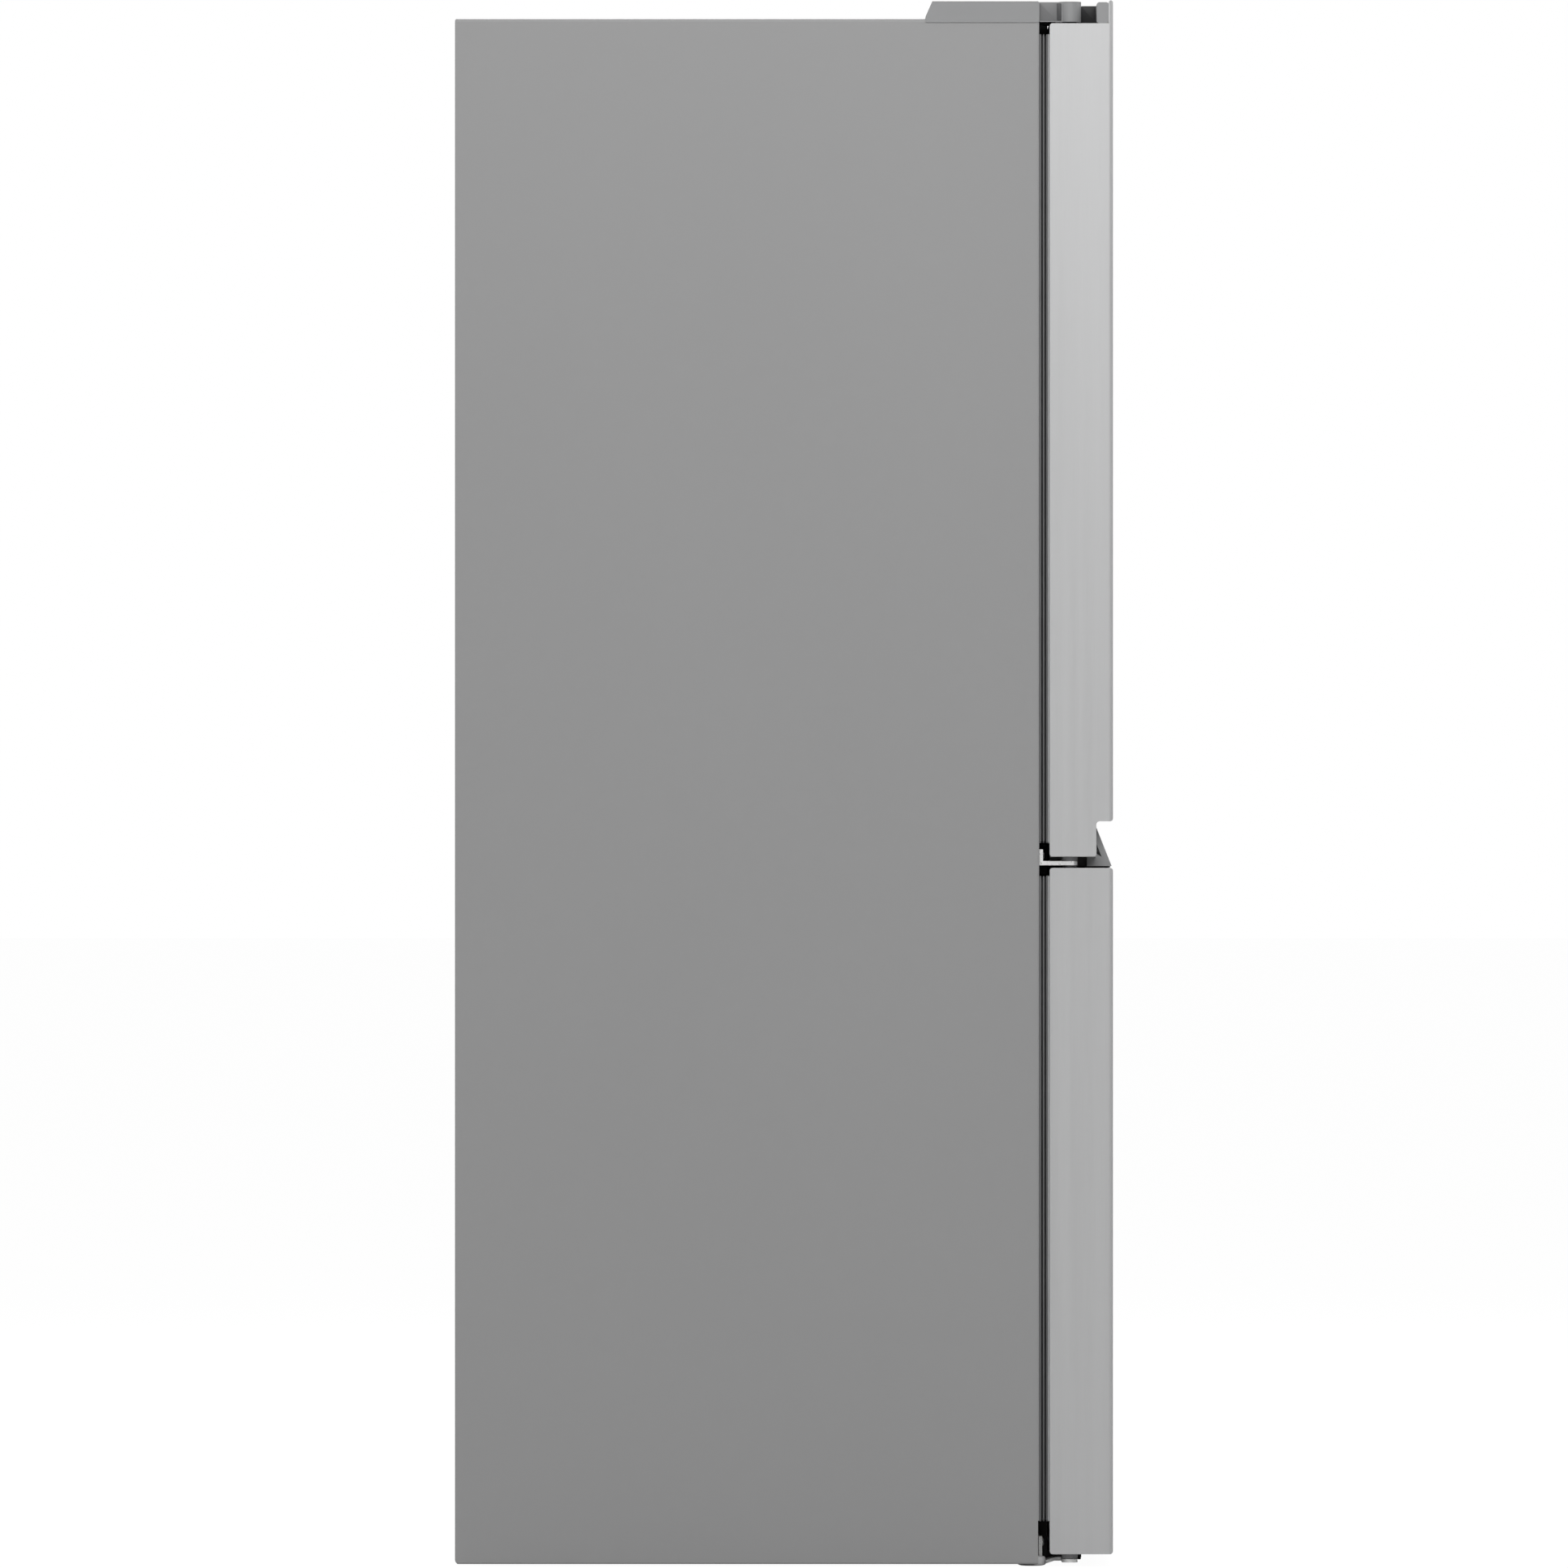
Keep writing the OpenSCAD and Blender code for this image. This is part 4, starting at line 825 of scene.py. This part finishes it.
def compressor():
    """Welded hermetic shell with mounting feet, terminal cover and stubs of copper tube."""
    parts = [turned("z", mm(-215, 262, 46), [mm(r, h) for r, h in SHELL], 64),
             slab("z", mm(-313, 190, 40), mm(-117, 334, 43), 12 * MM, 0.8 * MM),
             slab("y", mm(-250, 190.5, 84), mm(-180, 204, 138), 6 * MM, 2 * MM)]
    tubes = [turned("x", mm(-152, 262, 106), [mm(4, 0), mm(4, 43)], 20),
             turned("x", mm(-156, 296, 126), [mm(3, 0), mm(3, 47)], 20)]
    mounts = []
    for x in (-299, -131):
        for y in (204, 320):
            mounts.append(turned("z", mm(x, y, 25.6), [mm(r, h) for r, h in GROMMET], 32))
            mounts.append(turned("z", mm(x, y, 43), [mm(6.5, 0), mm(6.5, 2), mm(5.6, 3)], 6))
    new_piece("compressor_shell", joined(parts), "root", "black_enamel", ["compressor"])
    new_piece("compressor_tubes", joined(tubes), "root", "black_enamel", ["compressor"], COPPER)
    new_piece("compressor_mounts", joined(mounts), "root", "roller_plastic", ["compressor"])


MARK_PLACES = (-84, -68, -52, 52, 68, 84)


def panel_details():
    """Marks and lights on the control panel, and ribs on the lamp lens."""
    marks = [slab("z", mm(x - 5, -118.5, 1689.2), mm(x + 5, -116.5, 1690.2), 0.8 * MM, 0.2 * MM)
             for x in MARK_PLACES]
    marks += [turned("z", mm(x, -104, 1690.2), [mm(2.2, 0), mm(2.2, 0.7), mm(1.6, 1.0)], 20, -1)
              for x in MARK_PLACES]
    new_piece("control_marks", joined(marks), "root", "fan_plastic")
    ribs = [slab("z", mm(x - 1.2, -14, 1695.4), mm(x + 1.2, 28, 1697), 1 * MM, 0.4 * MM)
            for x in range(-126, 127, 12)]
    new_piece("lamp_ribs", joined(ribs), "root", "lamp_diffuser")


for side in SIDES:
    door_bins(side)
    freezer_drawers(side)
shelves()
crisper_drawers()
cabinet_liner()
back_details()
hinge_screws()
rolling_parts()
compressor()
panel_details()


# ---------------------------------------------------------------- floor, light and camera

FLOOR_HALF = 60
FLOOR_GLOW = 1.075
GLOW_SHARE = 0.9


def stage_floor():
    """Pale floor. The camera sees it nearly white, while it sends only soft light back to the object."""
    look = Shader("studio_floor", (0.55, 0.55, 0.55), 0.7)
    look.vary_color(look.noise(0.7, 2), 0.01)
    glow = look.node("ShaderNodeEmission")
    glow.inputs["Color"].default_value = (1, 1, 1, 1)
    glow.inputs["Strength"].default_value = FLOOR_GLOW
    path = look.node("ShaderNodeLightPath")
    blend = look.node("ShaderNodeMixShader")
    look.link(look.math("MULTIPLY", path.outputs["Is Camera Ray"], GLOW_SHARE), blend.inputs["Fac"])
    look.link(look.shader.outputs["BSDF"], blend.inputs[1])
    look.link(glow.outputs["Emission"], blend.inputs[2])
    look.link(blend.outputs["Shader"], look.tree.nodes["Material Output"].inputs["Surface"])
    mesh = bpy.data.meshes.new("studio_floor")
    corners = [(x * FLOOR_HALF, y * FLOOR_HALF, 0) for x, y in ((-1, -1), (1, -1), (1, 1), (-1, 1))]
    mesh.from_pydata(corners, [], [(0, 1, 2, 3)])
    mesh.materials.append(look.material)
    floor = bpy.data.objects.new("studio_floor", mesh)
    bpy.context.collection.objects.link(floor)


def area_light(name, place, target, size, watts):
    """Soft rectangular lamp that looks at a target and that the camera does not see."""
    data = bpy.data.lights.new(name, "AREA")
    data.shape = "RECTANGLE"
    data.size, data.size_y = size
    data.energy = watts
    obj = bpy.data.objects.new(name, data)
    obj.location = place
    obj.rotation_euler = (Vector(target) - Vector(place)).to_track_quat("-Z", "Y").to_euler()
    obj.visible_camera = False
    bpy.context.collection.objects.link(obj)


def ramp(tree, source, span, levels):
    """A world node that maps a direction's part to a brightness."""
    made = tree.nodes.new("ShaderNodeMapRange")
    made.inputs["From Min"].default_value, made.inputs["From Max"].default_value = span
    made.inputs["To Min"].default_value, made.inputs["To Max"].default_value = levels
    tree.links.new(source, made.inputs["Value"])
    return made.outputs["Result"]


def studio_world():
    """White to the camera; to the object a soft grey, brighter overhead and darker in front of the doors."""
    world = bpy.data.worlds.new("studio")
    bpy.context.scene.world = world
    world.use_nodes = True
    tree = world.node_tree
    place = tree.nodes.new("ShaderNodeTexCoord")
    split = tree.nodes.new("ShaderNodeSeparateXYZ")
    tree.links.new(place.outputs["Generated"], split.inputs["Vector"])
    share = tree.nodes.new("ShaderNodeMath")
    share.operation = "MULTIPLY"
    tree.links.new(ramp(tree, split.outputs["Z"], (-0.4, 0.9), (0.14, 0.44)), share.inputs[0])
    tree.links.new(ramp(tree, split.outputs["Y"], (-0.95, -0.1), (0.22, 1.0)), share.inputs[1])
    seen = tree.nodes.new("ShaderNodeLightPath")
    level = tree.nodes.new("ShaderNodeMix")
    tree.links.new(seen.outputs["Is Camera Ray"], level.inputs["Factor"])
    tree.links.new(share.outputs["Value"], level.inputs["A"])
    level.inputs["B"].default_value = 1.0
    background = tree.nodes["Background"]
    background.inputs["Color"].default_value = (1, 1, 1, 1)
    tree.links.new(level.outputs["Result"], background.inputs["Strength"])


stage_floor()
studio_world()
area_light("key_left", (-4.4, -0.6, 3.7), (0, 0, 0.9), (4.0, 3.0), 171)
area_light("fill_front", (1.0, -5.5, 4.0), (0, 0, 1.0), (5, 3), 150)
area_light("fill_right", (4.5, 0.5, 4.2), (0, 0, 1.0), (4, 3), 130)
area_light("back", (-0.5, 5, 4.2), (0, 0, 1.0), (4, 3), 120)
bpy.context.scene.view_settings.view_transform = "Standard"

# The photograph's view: square on to the refrigerator's left side, from far away.
# The lens and sensor are in mm, the side of the square view at the near doors and the height in m.
LENS = 300.0
SENSOR = 36.0
VIEW_SIDE = 1.782
CAMERA_HEIGHT = 0.8894
near_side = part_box("upper_left_skin")[0][0]
camera_data = bpy.data.cameras.new("camera")
camera_data.lens = LENS
camera_data.sensor_width = SENSOR
camera_data.clip_end = 200
camera = bpy.data.objects.new("camera", camera_data)
camera.location = (near_side - VIEW_SIDE * LENS / SENSOR, 0, CAMERA_HEIGHT)
camera.rotation_euler = (math.radians(90), 0, math.radians(-90))
bpy.context.collection.objects.link(camera)
bpy.context.scene.camera = camera
